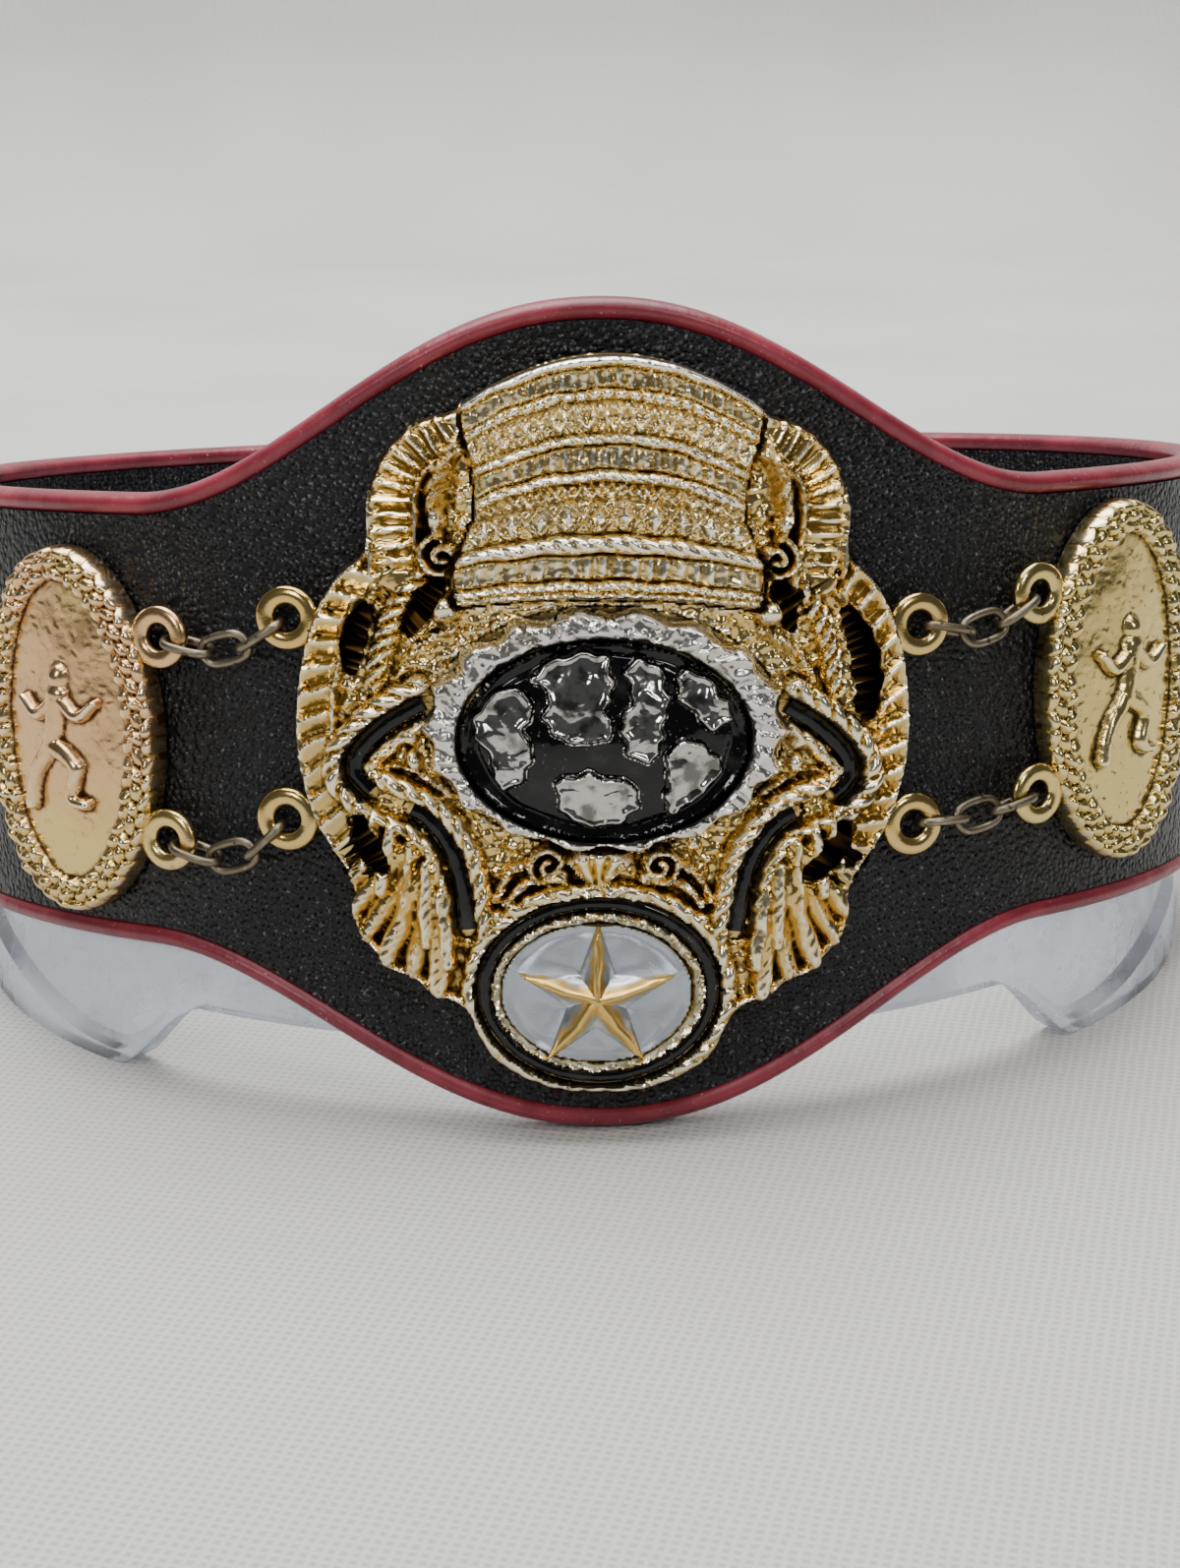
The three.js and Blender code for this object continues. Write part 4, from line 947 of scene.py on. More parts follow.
@dataclass
class MainPlate(Casting):
    """The pierced main plate: rim, ribbons, ropes, wings, shell and medallion border in one casting."""

    crown: Line | None = None

    def relief(self, face: Relief) -> None:
        """Raises the whole face, then sinks it where the inlays sit."""
        depth = self.outline.depth(face.true_x, face.true_y, 2.5)
        face.lumps(0.75, 0.62, 11.0, np.clip(depth / 0.8, 0, 1))
        face.lumps(0.42, 0.4, 5.0, np.clip(depth / 0.8, 0, 1))
        self.borders(face)
        self.ribbons(face)
        self.ropes(face)
        self.wings(face)
        self.crest(face)
        self.medallion(face)
        self.pockets(face)

    def borders(self, face: Relief) -> None:
        """The rim's slanted flutes and the thin roll along the plate's edge."""
        turns = np.radians(np.linspace(-36, 43, 40))
        rim = Line(np.column_stack([16.75 * np.cos(turns), 16.0 * np.sin(turns)]), smooth=False)
        for line in both(rim):
            face.cord(line, 2.5, 1.15, Spikes(1.55, 0.75, 0.35), Section.FLAT, foot=0.2)
            inner = line.beside(1.15 if line.points[0, 0] > 0 else -1.15)
            face.cord(inner, 0.4, 0.95, None, foot=0.1)
        near = self.outline.near(face.true_x, face.true_y, 1.0)
        roll = Section.ROUND.height(np.abs(near.distance - 0.34) / 0.34)
        face.rise = np.maximum(face.rise, 1.0 * roll)

    def ribbons(self, face: Relief) -> None:
        """The ribbed ribbons beside the crown, with a leaf and a volute at each side of it."""
        ribbon = Line([(8.9, 17.6), (10.8, 16.4), (12.0, 14.6), (12.2, 12.2), (11.9, 9.2)])
        for line in both(ribbon):
            face.cord(line, 3.0, 1.2, Spikes(0.88, 0.55, 0.1, 0.5), Section.FLAT, foot=0.35)
            face.cord(line.beside(1.35), 0.55, 1.3)
            face.cord(line.beside(-1.35), 0.55, 1.3)
        stem = Line([(10.2, 9.4), (11.6, 7.6), (12.6, 5.2), (13.2, 2.4)])
        vein = Line([(8.8, 6.0), (11.0, 4.4), (12.4, 1.6)])
        leaf = Line([(8.5, 17.0), (9.6, 14.8), (9.9, 12.6), (9.5, 11.2)])
        for line in both(stem):
            face.cord(line, 1.5, 1.35, Twist(0.95, 0.55, 0.8))
        for line in both(vein):
            face.cord(line, 1.3, 1.0, Twist(1.2, 0.6, 1.0), Section.PEAK)
        for line in both(leaf):
            face.cord(line, 1.9, 1.9, Twist(1.1, 0.35, 0.9), Section.PEAK, leaf_width)
        for side in (-1, 1):
            start = 60 if side > 0 else 120
            face.cord(spiral(side * 9.25, 10.1, 1.25, 1.5, start, -side), 0.62, 1.9)
            face.ball(side * 9.1, 7.1, 0.95, 1.9)
            face.ball(side * 9.7, 12.3, 0.6, 1.7, 1.5, 70 * side)

    def ropes(self, face: Relief) -> None:
        """The rope borders of the side scrolls and of the long curves down to the medallion."""
        for line in both(Line(SIDE_ROPE)):
            side = 1 if line.points[0, 0] > 0 else -1
            face.cord(line, ROPE_WIDTH + 0.4, 1.6, Twist(1.25, 0.4, 0.6), foot=0.2)
            face.cord(line.beside(-side * 2.2), 0.95, 1.15, Twist(1.1, 0.4, 0.6), foot=0.1)
        for line in both(Line(LOWER_ROPE)):
            side = 1 if line.points[0, 0] > 0 else -1
            face.cord(line, ROPE_WIDTH + 0.15, 1.45, Twist(1.15, 0.35, 0.6), foot=0.2)
            face.cord(line.beside(side * 2.2), 1.0, 1.35, Twist(1.2, 0.35, 0.6), foot=0.15)
        bough = Line([(9.2, -3.6), (11.4, -2.4), (13.2, -2.9), (13.0, -4.3)])
        for line in both(bough):
            face.cord(line, 0.9, 1.15, Twist(1.0, 0.5, 0.9), Section.PEAK)
        for side in (-1, 1):
            for x, y, turn in ((11.2, -0.6, 30), (12.6, -1.6, -40), (10.9, -2.0, 80), (12.1, -3.4, 10)):
                face.ball(side * x, y, 0.5, 1.05, 1.6, side * turn)

    def wings(self, face: Relief) -> None:
        """Two layers of feathers at each side of the medallion."""

        def blade(share: Array) -> Array:
            """A feather's width along its length."""
            return 0.45 + 0.55 * np.sin(math.pi * np.clip(0.1 + 0.7 * share, 0, 1))

        for layer, foot, rise, width in ((FLIGHTS, 0.0, 1.15, 1.5), (COVERTS, 0.3, 1.5, 1.3)):
            for side in (-1, 1):
                for i, (root, tip) in enumerate(layer):
                    line = Line([(side * root[0], root[1]), (side * tip[0], tip[1])], smooth=False)
                    barbs = Twist(0.7, 0.08, 1.2)
                    face.cord(line, width, rise + 0.25 * (i % 2), barbs, Section.ROUND, blade, foot)
                    face.cord(line, 0.3, rise + 0.16, None, Section.ROUND, lambda t: 1 - 0.5 * t, rise - 0.2)

    def crest(self, face: Relief) -> None:
        """The fluted shell between two scrolls, and the beaded arc under them."""
        x, y = face.x + 0.3, face.y + 9.75
        reach, angle = np.hypot(x, y), np.arctan2(x, y)
        fan = (reach < 3.3) & (np.abs(angle) < math.radians(44))
        flutes = 0.72 + 0.28 * np.abs(np.cos(angle * 7.5))
        shell = 1.75 * flutes * (0.6 + 0.4 * reach / 3.3) * Section.FLAT.height(reach / 3.5)
        face.rise = np.where(fan, np.maximum(face.rise, shell), face.rise)
        scroll = Line([(2.3, -8.7), (3.2, -8.9), (4.4, -9.1), (5.6, -10.4)])
        for line in both(scroll):
            face.cord(line, 1.0, 1.3, Twist(1.3, 0.3, 0.8), Section.ROUND, lambda t: 1 - 0.4 * t)
        for side in (-1, 1):
            face.cord(spiral(side * 3.1, -8.0, 1.15, 1.4, 90 - side * 150, side), 0.6, 1.55)
            stalk = Line([(side * 4.2, -7.9), (side * 5.3, -8.6), (side * 6.1, -10.2)])
            face.cord(stalk, 0.7, 1.2, Twist(0.8, 0.4))
            face.ball(side * 1.9 - 0.3, -9.9, 0.5, 1.2, 1.4, 30 * side)
        face.cord(Line([(-1.7, -9.3), (-0.3, -10.1), (1.1, -9.3)]), 0.7, 1.35)
        arc = Line([(-6.3, -11.6), (-3.5, -10.2), (-0.3, -9.7), (2.9, -10.2), (5.7, -11.5)])
        face.cord(arc.beside(0.25), 0.9, 1.2, Beads(0.95))

    def medallion(self, face: Relief) -> None:
        """The two ropes round the star's field."""
        outer = oval(-0.1, -15.6, 7.4, 6.16)
        inner = oval(-0.2, -15.85, 5.95, 4.72)
        face.cord(outer, 1.2, 1.2, Twist(1.35, 0.35, 0.45), foot=0.2)
        face.cord(inner, 0.8, 1.0, Twist(0.98, 0.45, 0.7), foot=0.1)

    def pockets(self, face: Relief) -> None:
        """Room for the crown, the globe, the field and the enamel."""
        x, y = face.true_x, face.true_y
        face.sink(self.crown.depth(x, y, 1.0) > -0.2)
        face.sink(oval(*GLOBE_OUTER).depth(x, y, 1.0) > -0.15)
        face.sink(oval(*FIELD).depth(x, y, 1.0) > -0.05)
        face.sink(oval(*RING_ENAMEL).near(x, y, 1.0).distance < RING_WIDTH / 2 + 0.08)
        for line in channel_lines().values():
            face.sink(line.near(x, y, 1.0).distance < STRIP_WIDTH / 2 + 0.08)


def channel_lines() -> dict[str, Line]:
    """The middles of the four black channels, by the names of their enamel strips."""
    side, lower = Line(SIDE_ROPE), Line(LOWER_ROPE)
    found = {}
    for name, line, hand in (("side", side, -1), ("lower", lower, 1)):
        for end, drawn, sign in (("right", line, hand), ("left", line.flipped(), -hand)):
            moved = drawn.beside(sign * CHANNEL_APART).points
            first = 1 if name == "side" else 5
            found[f"enamel_{name}_{end}"] = Line(moved[first:-1], smooth=False)
    return found


CROWN_SIDE = [
    (21.9, 8.4), (21.2, 8.4), (19.8, 8.2), (19.0, 8.0), (17.5, 7.7), (16.8, 7.6), (15.3, 7.5), (13.9, 7.5),
    (13.5, 7.7), (11.6, 8.3), (11.2, 8.5), (10.5, 8.7), (8.9, 8.7), (8.4, 8.6), (7.9, 8.4),
]
CROWN_BOW = 3.0


@dataclass(frozen=True)
class Band:
    """One level of the crown: its upper and lower edge in the middle, its height and what repeats."""

    top: float
    bottom: float
    rise: float
    pattern: Pattern
    section: Section = Section.ROUND
    floor: float = 1.0


CROWN_BANDS = [
    Band(21.95, 21.2, 1.75, Twist(2.4, 0.08), floor=1.0),
    Band(21.25, 19.9, 1.5, Spikes(0.62, 0.55, 0.05, 0.5), Section.FLAT, 1.0),
    Band(19.95, 19.3, 1.9, Beads(0.72), floor=1.25),
    Band(19.35, 17.4, 2.0, Chevrons(1.45, 0.5), Section.FLAT, 1.25),
    Band(17.45, 16.8, 1.95, Twist(0.75, 0.4), floor=1.25),
    Band(16.85, 15.3, 1.6, Spikes(0.72, 0.6, 0.0, 0.5), Section.FLAT, 1.05),
    Band(15.35, 14.6, 2.1, Twist(0.75, 0.3), floor=1.25),
    Band(14.65, 13.7, 2.05, Chevrons(1.1, 0.6), floor=1.25),
    Band(13.75, 11.6, 2.1, Diamonds(1.55), Section.FLAT, 1.3),
    Band(11.65, 10.55, 2.3, Twist(0.95, 0.3, 0.5), floor=1.25),
    Band(10.6, 8.9, 1.65, Spikes(0.85, 0.6, 0.0, 0.45), Section.FLAT, 1.05),
    Band(8.95, 8.35, 2.1, Twist(0.75, 0.35), floor=1.25),
    Band(8.4, 7.75, 2.15, Twist(0.8, 0.35), floor=1.25),
]


def crown_bow(level: Array) -> Array:
    """How far a level of the crown drops from its middle to its ends."""
    return CROWN_BOW * (level - 3.96) / 17.94


def crown_half(level: Array) -> Array:
    """Half the crown's width at a level."""
    levels, halves = np.array(CROWN_SIDE[::-1]).T
    return np.interp(level, levels, halves)


def crown_edge() -> Line:
    """The crown's outline."""
    levels, halves = np.array(CROWN_SIDE).T
    sweep = np.linspace(-1, 1, 25)
    right = np.column_stack([halves, levels - crown_bow(levels)])
    bottom = np.column_stack([-sweep * halves[-1], levels[-1] - crown_bow(levels[-1]) * sweep**2])
    top = np.column_stack([sweep * halves[0], levels[0] - crown_bow(levels[0]) * sweep**2])
    left = right[::-1] * [-1, 1]
    return Line(np.vstack([top, right[1:-1], bottom, left[1:-1]]), closed=True, smooth=False)


@dataclass
class Crown(Casting):
    """The banded crown on the top of the main plate."""

    flank: float = 0.3

    def relief(self, face: Relief) -> None:
        """Raises the crown's bands, bowed and rounded from side to side."""
        level = face.y.copy()
        for _ in range(5):
            share = np.clip(face.x / crown_half(level), -1, 1)
            level = face.y + crown_bow(level) * share**2
        rise = np.full(face.x.shape, 0.9)
        for band in CROWN_BANDS:
            half = (band.top - band.bottom) / 2
            across = (level - (band.top + band.bottom) / 2) / half
            shape = band.section.height(np.abs(across)) * band.pattern(face.x, across)
            raised = band.floor + (band.rise - band.floor) * shape
            rise = np.where(np.abs(across) < 1, np.maximum(rise, raised), rise)
        apart, own = scatter(face.x, face.y, 0.34, 21.0)
        rise = rise + 0.09 * (own - 0.5) * np.clip(1.1 - apart, 0, 1)
        rise = rise + 0.05 * wander(face.x, face.y, 0.7, 7.0)
        face.rise = rise * (1 - self.flank * share**2)


@dataclass
class GlobeFrame(Casting):
    """The hammered silver frame round the globe."""

    def relief(self, face: Relief) -> None:
        """Raises a rounded frame with hammered facets and slanted nicks."""
        outer = np.maximum(self.outline.depth(face.x, face.y, 4.0), 0)
        inner = np.maximum(-self.holes[0].depth(face.x, face.y, 4.0), 0)
        share = inner / np.maximum(inner + outer, 1e-6)
        body = np.interp(share, [0, 0.12, 0.3, 0.75, 1], [1.0, 1.6, 1.85, 1.75, 1.0])
        near, facet = scatter(face.x + 0.5 * face.y, face.y, 1.05, 8.0)
        apart, small = scatter(face.x, face.y, 0.55, 14.0)
        around = np.arctan2(face.y * 1.4, face.x) * 8.6
        nicks = Spikes(1.35, 0.5, 0.4, 0.35)(around, 2 * share - 1 + 0.5 * wander(face.x, face.y, 1.0, 3.0))
        hammered = 0.5 * (facet - 0.5) * np.clip(1.25 - near, 0, 1)
        hammered = hammered + 0.3 * (small - 0.5) * np.clip(1 - apart, 0, 1)
        face.rise = body * (0.84 + 0.16 * nicks) + hammered


DOME_EDGE = 0.7
DOME_TOP = 1.65


def dome(x: Array, y: Array) -> Array:
    """Height of the enamel dome over the base plate."""
    share = np.hypot((x - GLOBE_INNER[0]) / GLOBE_INNER[2], (y - GLOBE_INNER[1]) / GLOBE_INNER[3])
    return DOME_EDGE + (DOME_TOP - DOME_EDGE) * (1 - np.minimum(share, 1) ** 2)


@dataclass
class GlobeEnamel(Casting):
    """The black enamel dome with a shallow step round it."""

    def relief(self, face: Relief) -> None:
        """Raises the dome and its step."""
        share = np.hypot((face.x - GLOBE_INNER[0]) / GLOBE_INNER[2], (face.y - GLOBE_INNER[1]) / GLOBE_INNER[3])
        groove = np.exp(-(((share - 0.88) / 0.025) ** 2))
        meniscus = 0.35 * soft((share - 0.93) / 0.07)
        apart, _ = scatter(face.x, face.y, 2.6, 2.0)
        face.rise = dome(face.x, face.y) - 0.14 * groove + meniscus + 0.05 * apart


LANDS = [
    [(-0.9, 0.05), (-0.86, 0.3), (-0.72, 0.52), (-0.56, 0.5), (-0.5, 0.3), (-0.56, 0.12), (-0.5, -0.1),
     (-0.58, -0.42), (-0.7, -0.5), (-0.78, -0.2)],
    [(-0.52, 0.62), (-0.3, 0.86), (-0.05, 0.9), (0.04, 0.66), (0, 0.3), (0.04, 0.1), (-0.14, -0.02),
     (-0.32, 0.06), (-0.42, 0.26), (-0.38, 0.46)],
    [(0.12, 0.78), (0.34, 0.8), (0.42, 0.5), (0.38, 0.1), (0.3, -0.2), (0.16, -0.12), (0.1, 0.2), (0.18, 0.46)],
    [(-0.34, -0.42), (-0.12, -0.3), (0.18, -0.42), (0.24, -0.66), (0.02, -0.84), (-0.24, -0.76)],
    [(0.52, 0.74), (0.74, 0.56), (0.86, 0.26), (0.74, 0.1), (0.62, 0.28), (0.5, 0.44)],
    [(0.46, -0.02), (0.66, 0), (0.8, -0.28), (0.64, -0.56), (0.46, -0.7), (0.42, -0.36)],
]


@dataclass
class Land(Casting):
    """One raised silver land mass on the globe."""

    def relief(self, face: Relief) -> None:
        """Raises a soft, uneven top over the dome."""
        depth = np.maximum(self.outline.depth(face.true_x, face.true_y, 1.2), 0)
        apart, own = scatter(face.x, face.y, 1.1, 31.0)
        crest = np.exp(-(((depth - 0.28) / 0.2) ** 2))
        pits = 0.1 * own * np.clip(1 - apart, 0, 1)
        uneven = 0.07 * wander(face.x, face.y, 0.8, 6.0)
        face.rise = dome(face.x, face.y) + 0.52 + 0.14 * crest + pits + uneven


def star_share(x: Array, y: Array, radius: float, notch: float) -> tuple[Array, Array]:
    """Where points lie in a five-pointed star.

    Args:
        x: first coordinates from the star's middle.
        y: second coordinates from the star's middle.
        radius: how far its points reach.
        notch: how far its notches lie from its middle, as a share of the radius.

    Returns:
        tuple[Array, Array]: share of the way from the middle to the edge, and distance from a ridge.
    """
    reach, angle = np.hypot(x, y), np.arctan2(x, y)
    fold = math.pi / 5
    turn = np.abs((angle + fold) % (2 * fold) - fold)
    tip, dip = np.array([radius, 0.0]), radius * notch * np.array([math.cos(fold), math.sin(fold)])
    edge = dip - tip
    scale = (tip[0] * edge[1] - tip[1] * edge[0]) / (np.cos(turn) * edge[1] - np.sin(turn) * edge[0])
    return reach / scale, reach * np.sin(turn)


@dataclass
class StarField(Casting):
    """The satin silver oval behind the star."""

    def relief(self, face: Relief) -> None:
        """A slightly dished field that rises softly to the star's arms."""
        share = np.hypot((face.x - FIELD[0]) / FIELD[2], (face.y - FIELD[1]) / FIELD[3])
        ring = np.exp(-(((share - 0.9) / 0.05) ** 2))
        rays, ridge = star_share(face.x - FIELD[0], face.y - FIELD[1] + 0.2, 5.3, 0.46)
        flare = np.clip(1 - ridge / 1.3, 0, 1) * np.clip(1.5 - rays, 0, 1)
        face.rise = 0.34 - 0.1 * ring + 0.5 * flare + 0.03 * wander(face.x, face.y, 0.7, 2.0)


@dataclass
class Star(Casting):
    """The raised star."""

    radius: float = 4.7
    notch: float = 0.38

    def relief(self, face: Relief) -> None:
        """Five ridged arms that fall off to their points."""
        share, ridge = star_share(face.x, face.y, self.radius, self.notch)
        reach = np.hypot(face.x, face.y) / self.radius
        arm = 1.15 * (1 - 0.55 * reach**1.5) * np.exp(-((ridge / (0.62 - 0.22 * reach)) ** 2))
        face.rise = 0.12 + np.maximum(arm, 0.3 * np.clip(1 - share, 0, 1))
        gilt = soft((0.55 - 0.25 * reach - ridge + 0.12 * wander(face.x, face.y, 0.4, 3.0)) / 0.25 + 0.5)
        self.tone = gilt


@dataclass(frozen=True)
class Grains:
    """Three staggered rows of fat oval grains."""

    pitch: float

    def __call__(self, along: Array, across: Array) -> Array:
        """Height as a share, at a length along the border and a share across it."""
        best = np.zeros(along.shape)
        for row, (level, rise, lean) in enumerate(((-0.68, 0.8, 0.3), (0.0, 1.0, -0.4), (0.66, 0.85, 0.35))):
            phase = along / self.pitch + 0.5 * row + lean * (across - level)
            step = 2 * np.abs(phase - np.floor(phase) - 0.5)
            own = np.sin(np.floor(phase) * 12.9 + row * 5.1) * 43758.5 % 1
            grain = np.sqrt(np.clip(1 - (step / 1.02) ** 2 - ((across - level) / 0.46) ** 2, 0, 1))
            best = np.maximum(best, (rise - 0.25 * own) * grain)
        return 0.3 + 0.7 * best


@dataclass
class SidePlate(Casting):
    """An oval side plate with a knotted border and a plain figure in relief."""

    half_width: float = 7.3
    half_height: float = 11.6
    band: float = 2.1

    def relief(self, face: Relief) -> None:
        """Raises the border, the field's pebbled ground and the figure."""
        middle = oval(0, 0, self.half_width - self.band / 2, self.half_height - self.band / 2)
        near = middle.near(face.x, face.y, 2.0)
        count = round(middle.length / 1.12)
        grains = Grains(middle.length / count)(near.along, near.across / (self.band / 2))
        inside = near.distance < self.band / 2 + 0.05
        wave = 0.9 + 0.1 * np.cos(2 * math.pi * near.along / (2 * middle.length / count))
        face.rise = np.where(inside, 1.05 * grains * wave, 0.04)
        field_share = np.hypot(face.x / (self.half_width - self.band), face.y / (self.half_height - self.band))
        ground = 0.1 + 0.25 * np.clip(1 - field_share**2, 0, 1) + 0.025 * wander(face.x, face.y, 1.4, 8.0)
        inner = np.maximum(face.rise * (field_share > 0.97), ground)
        face.rise = np.where(field_share < 1.02, inner, face.rise)
        self.figure(face)

    def figure(self, face: Relief) -> None:
        """A plain runner with no features, in soft relief."""
        body = [
            ([(0.0, 2.3), (-0.3, 0.6), (-0.6, -1.0)], 1.8, 0.85),
            ([(0.3, 1.9), (1.7, 1.1), (3.1, 1.9)], 1.0, 0.75),
            ([(-0.3, 1.9), (-1.8, 1.0), (-3.0, 1.9)], 1.0, 0.75),
            ([(-0.4, -1.0), (1.3, -2.1), (1.0, -4.1), (2.0, -4.5)], 1.3, 0.8),
            ([(-0.8, -1.0), (-2.1, -2.7), (-2.8, -4.9)], 1.3, 0.75),
        ]
        for points, width, rise in body:
            face.cord(Line(points), width, rise + 0.25, None, Section.ROUND, lambda t: 1 - 0.35 * t, 0.35)
        face.ball(0.1, 3.35, 0.85, 1.0, 1.1, 90)


@dataclass(frozen=True)
class SidePlace:
    """Where a side plate hangs."""

    name: str
    side: int
    stretch: float
    level: float

    def centre(self) -> tuple[float, float]:
        """The plate's middle along the strap and over its lowest point."""
        reach = 18.546 + self.stretch * 9.15 + 7.836
        x = PLATE_CENTRE[0] + self.side * reach
        spot = np.array([x])
        low, high = float(LOOP.bottom(spot)[0]), float(LOOP.top(spot)[0])
        return x, low + (high - low) * self.level


SIDE_PLACES = [SidePlace("left", -1, 0.905, 0.477), SidePlace("right", 1, 0.965, 0.523)]


# Finishes


class Kind(Enum):
    """A kind of shader node: type, fixed settings, the inputs that a caller gives in order, output."""

    PLACE = ("ShaderNodeTexCoord", {}, (), "Object")
    FLAT = ("ShaderNodeAttribute", {"attribute_name": "flat"}, (), "Vector")
    NUMBER = ("ShaderNodeAttribute", {}, (), "Fac")
    MATH = ("ShaderNodeMath", {}, (0, 1, 2), 0)
    RAMP = ("ShaderNodeMapRange", {"interpolation_type": "SMOOTHSTEP"}, (0, 1, 2, 3, 4), 0)
    COLOURS = ("ShaderNodeMix", {"data_type": "RGBA"}, (0, 6, 7), 2)
    NUMBERS = ("ShaderNodeMix", {"data_type": "FLOAT"}, (0, 2, 3), 0)
    CLOUDS = ("ShaderNodeTexNoise", {}, ("Vector", "Scale", "Detail"), 0)
    CELLS = ("ShaderNodeTexVoronoi", {"feature": "F1"}, ("Vector", "Scale"), "Distance")
    THREADS = ("ShaderNodeTexWave", {"wave_type": "BANDS"}, ("Vector", "Scale", "Distortion", "Detail"), "Fac")
    MAPPING = ("ShaderNodeMapping", {}, ("Vector", "Rotation", "Scale"), 0)
    DEPTH = ("ShaderNodeSeparateXYZ", {}, (0,), "Y")
    BUMP = ("ShaderNodeBump", {}, ("Strength", "Distance", "Height"), 0)


def colour(code: str) -> tuple[float, float, float, float]:
    """A colour as it shows on a screen, turned into the linear values that a shader takes.

    Args:
        code: six hexadecimal digits, red, green and blue.

    Returns:
        tuple[float, float, float, float]: linear red, green, blue and an alpha of 1.
    """
    parts = [int(code[i : i + 2], 16) / 255 for i in (0, 2, 4)]
    linear = [part / 12.92 if part <= 0.04045 else ((part + 0.055) / 1.055) ** 2.4 for part in parts]
    return (linear[0], linear[1], linear[2], 1.0)


def every(spacing: float) -> float:
    """The scale of a pattern in metres that repeats about every so many millimetres."""
    return 1 / (spacing * MM)


def feed(look: bpy.types.Material, node: bpy.types.Node, inputs: dict) -> None:
    """Sets or links a node's inputs, by their names or numbers."""
    for name, value in inputs.items():
        if isinstance(value, bpy.types.NodeSocket):
            look.node_tree.links.new(value, node.inputs[name])
        else:
            node.inputs[name].default_value = value


def add(look: bpy.types.Material, kind: Kind, *inputs: object, **settings: str) -> bpy.types.NodeSocket:
    """Adds a node with its settings and links.

    Args:
        look: the material.
        kind: the node's kind.
        inputs: values or other nodes' sockets, in the order that the kind names them.
        settings: properties beyond those that the kind fixes.

    Returns:
        bpy.types.NodeSocket: the node's output.
    """
    name, fixed, wanted, output = kind.value
    made = look.node_tree.nodes.new(name)
    for key, value in {**fixed, **settings}.items():
        setattr(made, key, value)
    feed(look, made, dict(zip(wanted, inputs)))
    return made.outputs[output]


def blank(name: str) -> tuple[bpy.types.Material, bpy.types.Node]:
    """A new material and its shader."""
    look = bpy.data.materials.new(name)
    look.use_nodes = True
    return look, look.node_tree.nodes["Principled BSDF"]


@dataclass(frozen=True)
class CastMetal:
    """Plated cast metal: paler on its crests, where the plating is worn and a highlight is painted; darker in its
    hollows, from patina and painted shade.
    """

    name: str
    base: str
    # Colour of worn plating with a painted highlight on the crests.
    crest: str
    # Colour of patina mixed with painted shade in the hollows, also used for dark specks of dirt.
    dirt_and_shade: str
    tint: str
    rough: float = 0.17
    crest_rough: float = 0.2
    dirt_and_shade_rough: float = 0.45
    crest_from: float = 0.05
    crest_to: float = 0.3
    dirt_and_shade_from: float = 0.12
    dirt_and_shade_to: float = 0.5
    tint_share: float = 0.5
    tint_spacing: float = 3.0
    grain: float = 0.12
    specks: float = 0.0
    gilt: str = ""
    # Near-black colour of painted shade in the deepest hollows and on the slot walls.
    deep_shade: str = "0f0b07"
    deep_shade_from: float = 0.55
    deep_shade_to: float = 1.1

    def material(self) -> bpy.types.Material:
        """Builds the material.

        The plating wears off the crests, which also carry a painted highlight, and patina stays in the hollows, mixed
        with painted shade;
        the deepest hollows and the slot walls are painted near-black as painted shade. The mesh's own hollow
        attribute gives the depth in millimetres under its surroundings. Fine grain breaks up the glints.
        """
        look, shader = blank(self.name)
        where = add(look, Kind.PLACE)
        depth = add(look, Kind.NUMBER, attribute_name="hollow")
        cloudy = add(look, Kind.CLOUDS, where, every(0.45), 4)
        drift = add(look, Kind.MATH, cloudy, 0.24, -0.12, operation="MULTIPLY_ADD")
        uneven = add(look, Kind.MATH, depth, drift, operation="ADD")
        # Patina mixed with painted shade: darker where a point lies under its surroundings.
        dirt_and_shade_mask = add(look, Kind.RAMP, uneven, self.dirt_and_shade_from, self.dirt_and_shade_to)
        # Worn plating mixed with a painted highlight: paler on the crests.
        worn_and_lit_crests = add(look, Kind.RAMP, uneven, -self.crest_from, -self.crest_to)
        patchy = add(look, Kind.CLOUDS, where, every(self.tint_spacing), 3)
        patches = add(look, Kind.RAMP, patchy, 0.45, 0.65, 0, self.tint_share)
        body = add(look, Kind.COLOURS, patches, colour(self.base), colour(self.tint))
        body = add(look, Kind.COLOURS, worn_and_lit_crests, body, colour(self.crest))
        body = add(look, Kind.COLOURS, dirt_and_shade_mask, body, colour(self.dirt_and_shade))
        polish = add(look, Kind.RAMP, worn_and_lit_crests, 0, 1, self.rough, self.crest_rough)
        dull = add(look, Kind.NUMBERS, dirt_and_shade_mask, polish, self.dirt_and_shade_rough)
        if self.specks:
            spotty = add(look, Kind.CLOUDS, where, every(0.5), 6)
            spots = add(look, Kind.RAMP, spotty, 0.62, 0.7, 0, self.specks)
            body = add(look, Kind.COLOURS, spots, body, colour(self.dirt_and_shade))
        # Painted shade: the deepest hollows and the slot walls go near-black.
        deep_shade_mask = add(look, Kind.RAMP, depth, self.deep_shade_from, self.deep_shade_to)
        body = add(look, Kind.COLOURS, deep_shade_mask, body, colour(self.deep_shade))
        if self.gilt:
            tone = add(look, Kind.NUMBER, attribute_name="tone")
            body = add(look, Kind.COLOURS, tone, body, colour(self.gilt))
        fine = add(look, Kind.CLOUDS, where, every(0.16), 5)
        bump = add(look, Kind.BUMP, self.grain, 0.06 * MM, fine)
        feed(look, shader, {"Base Color": body, "Roughness": dull, "Normal": bump, "Metallic": 1.0})
        return look


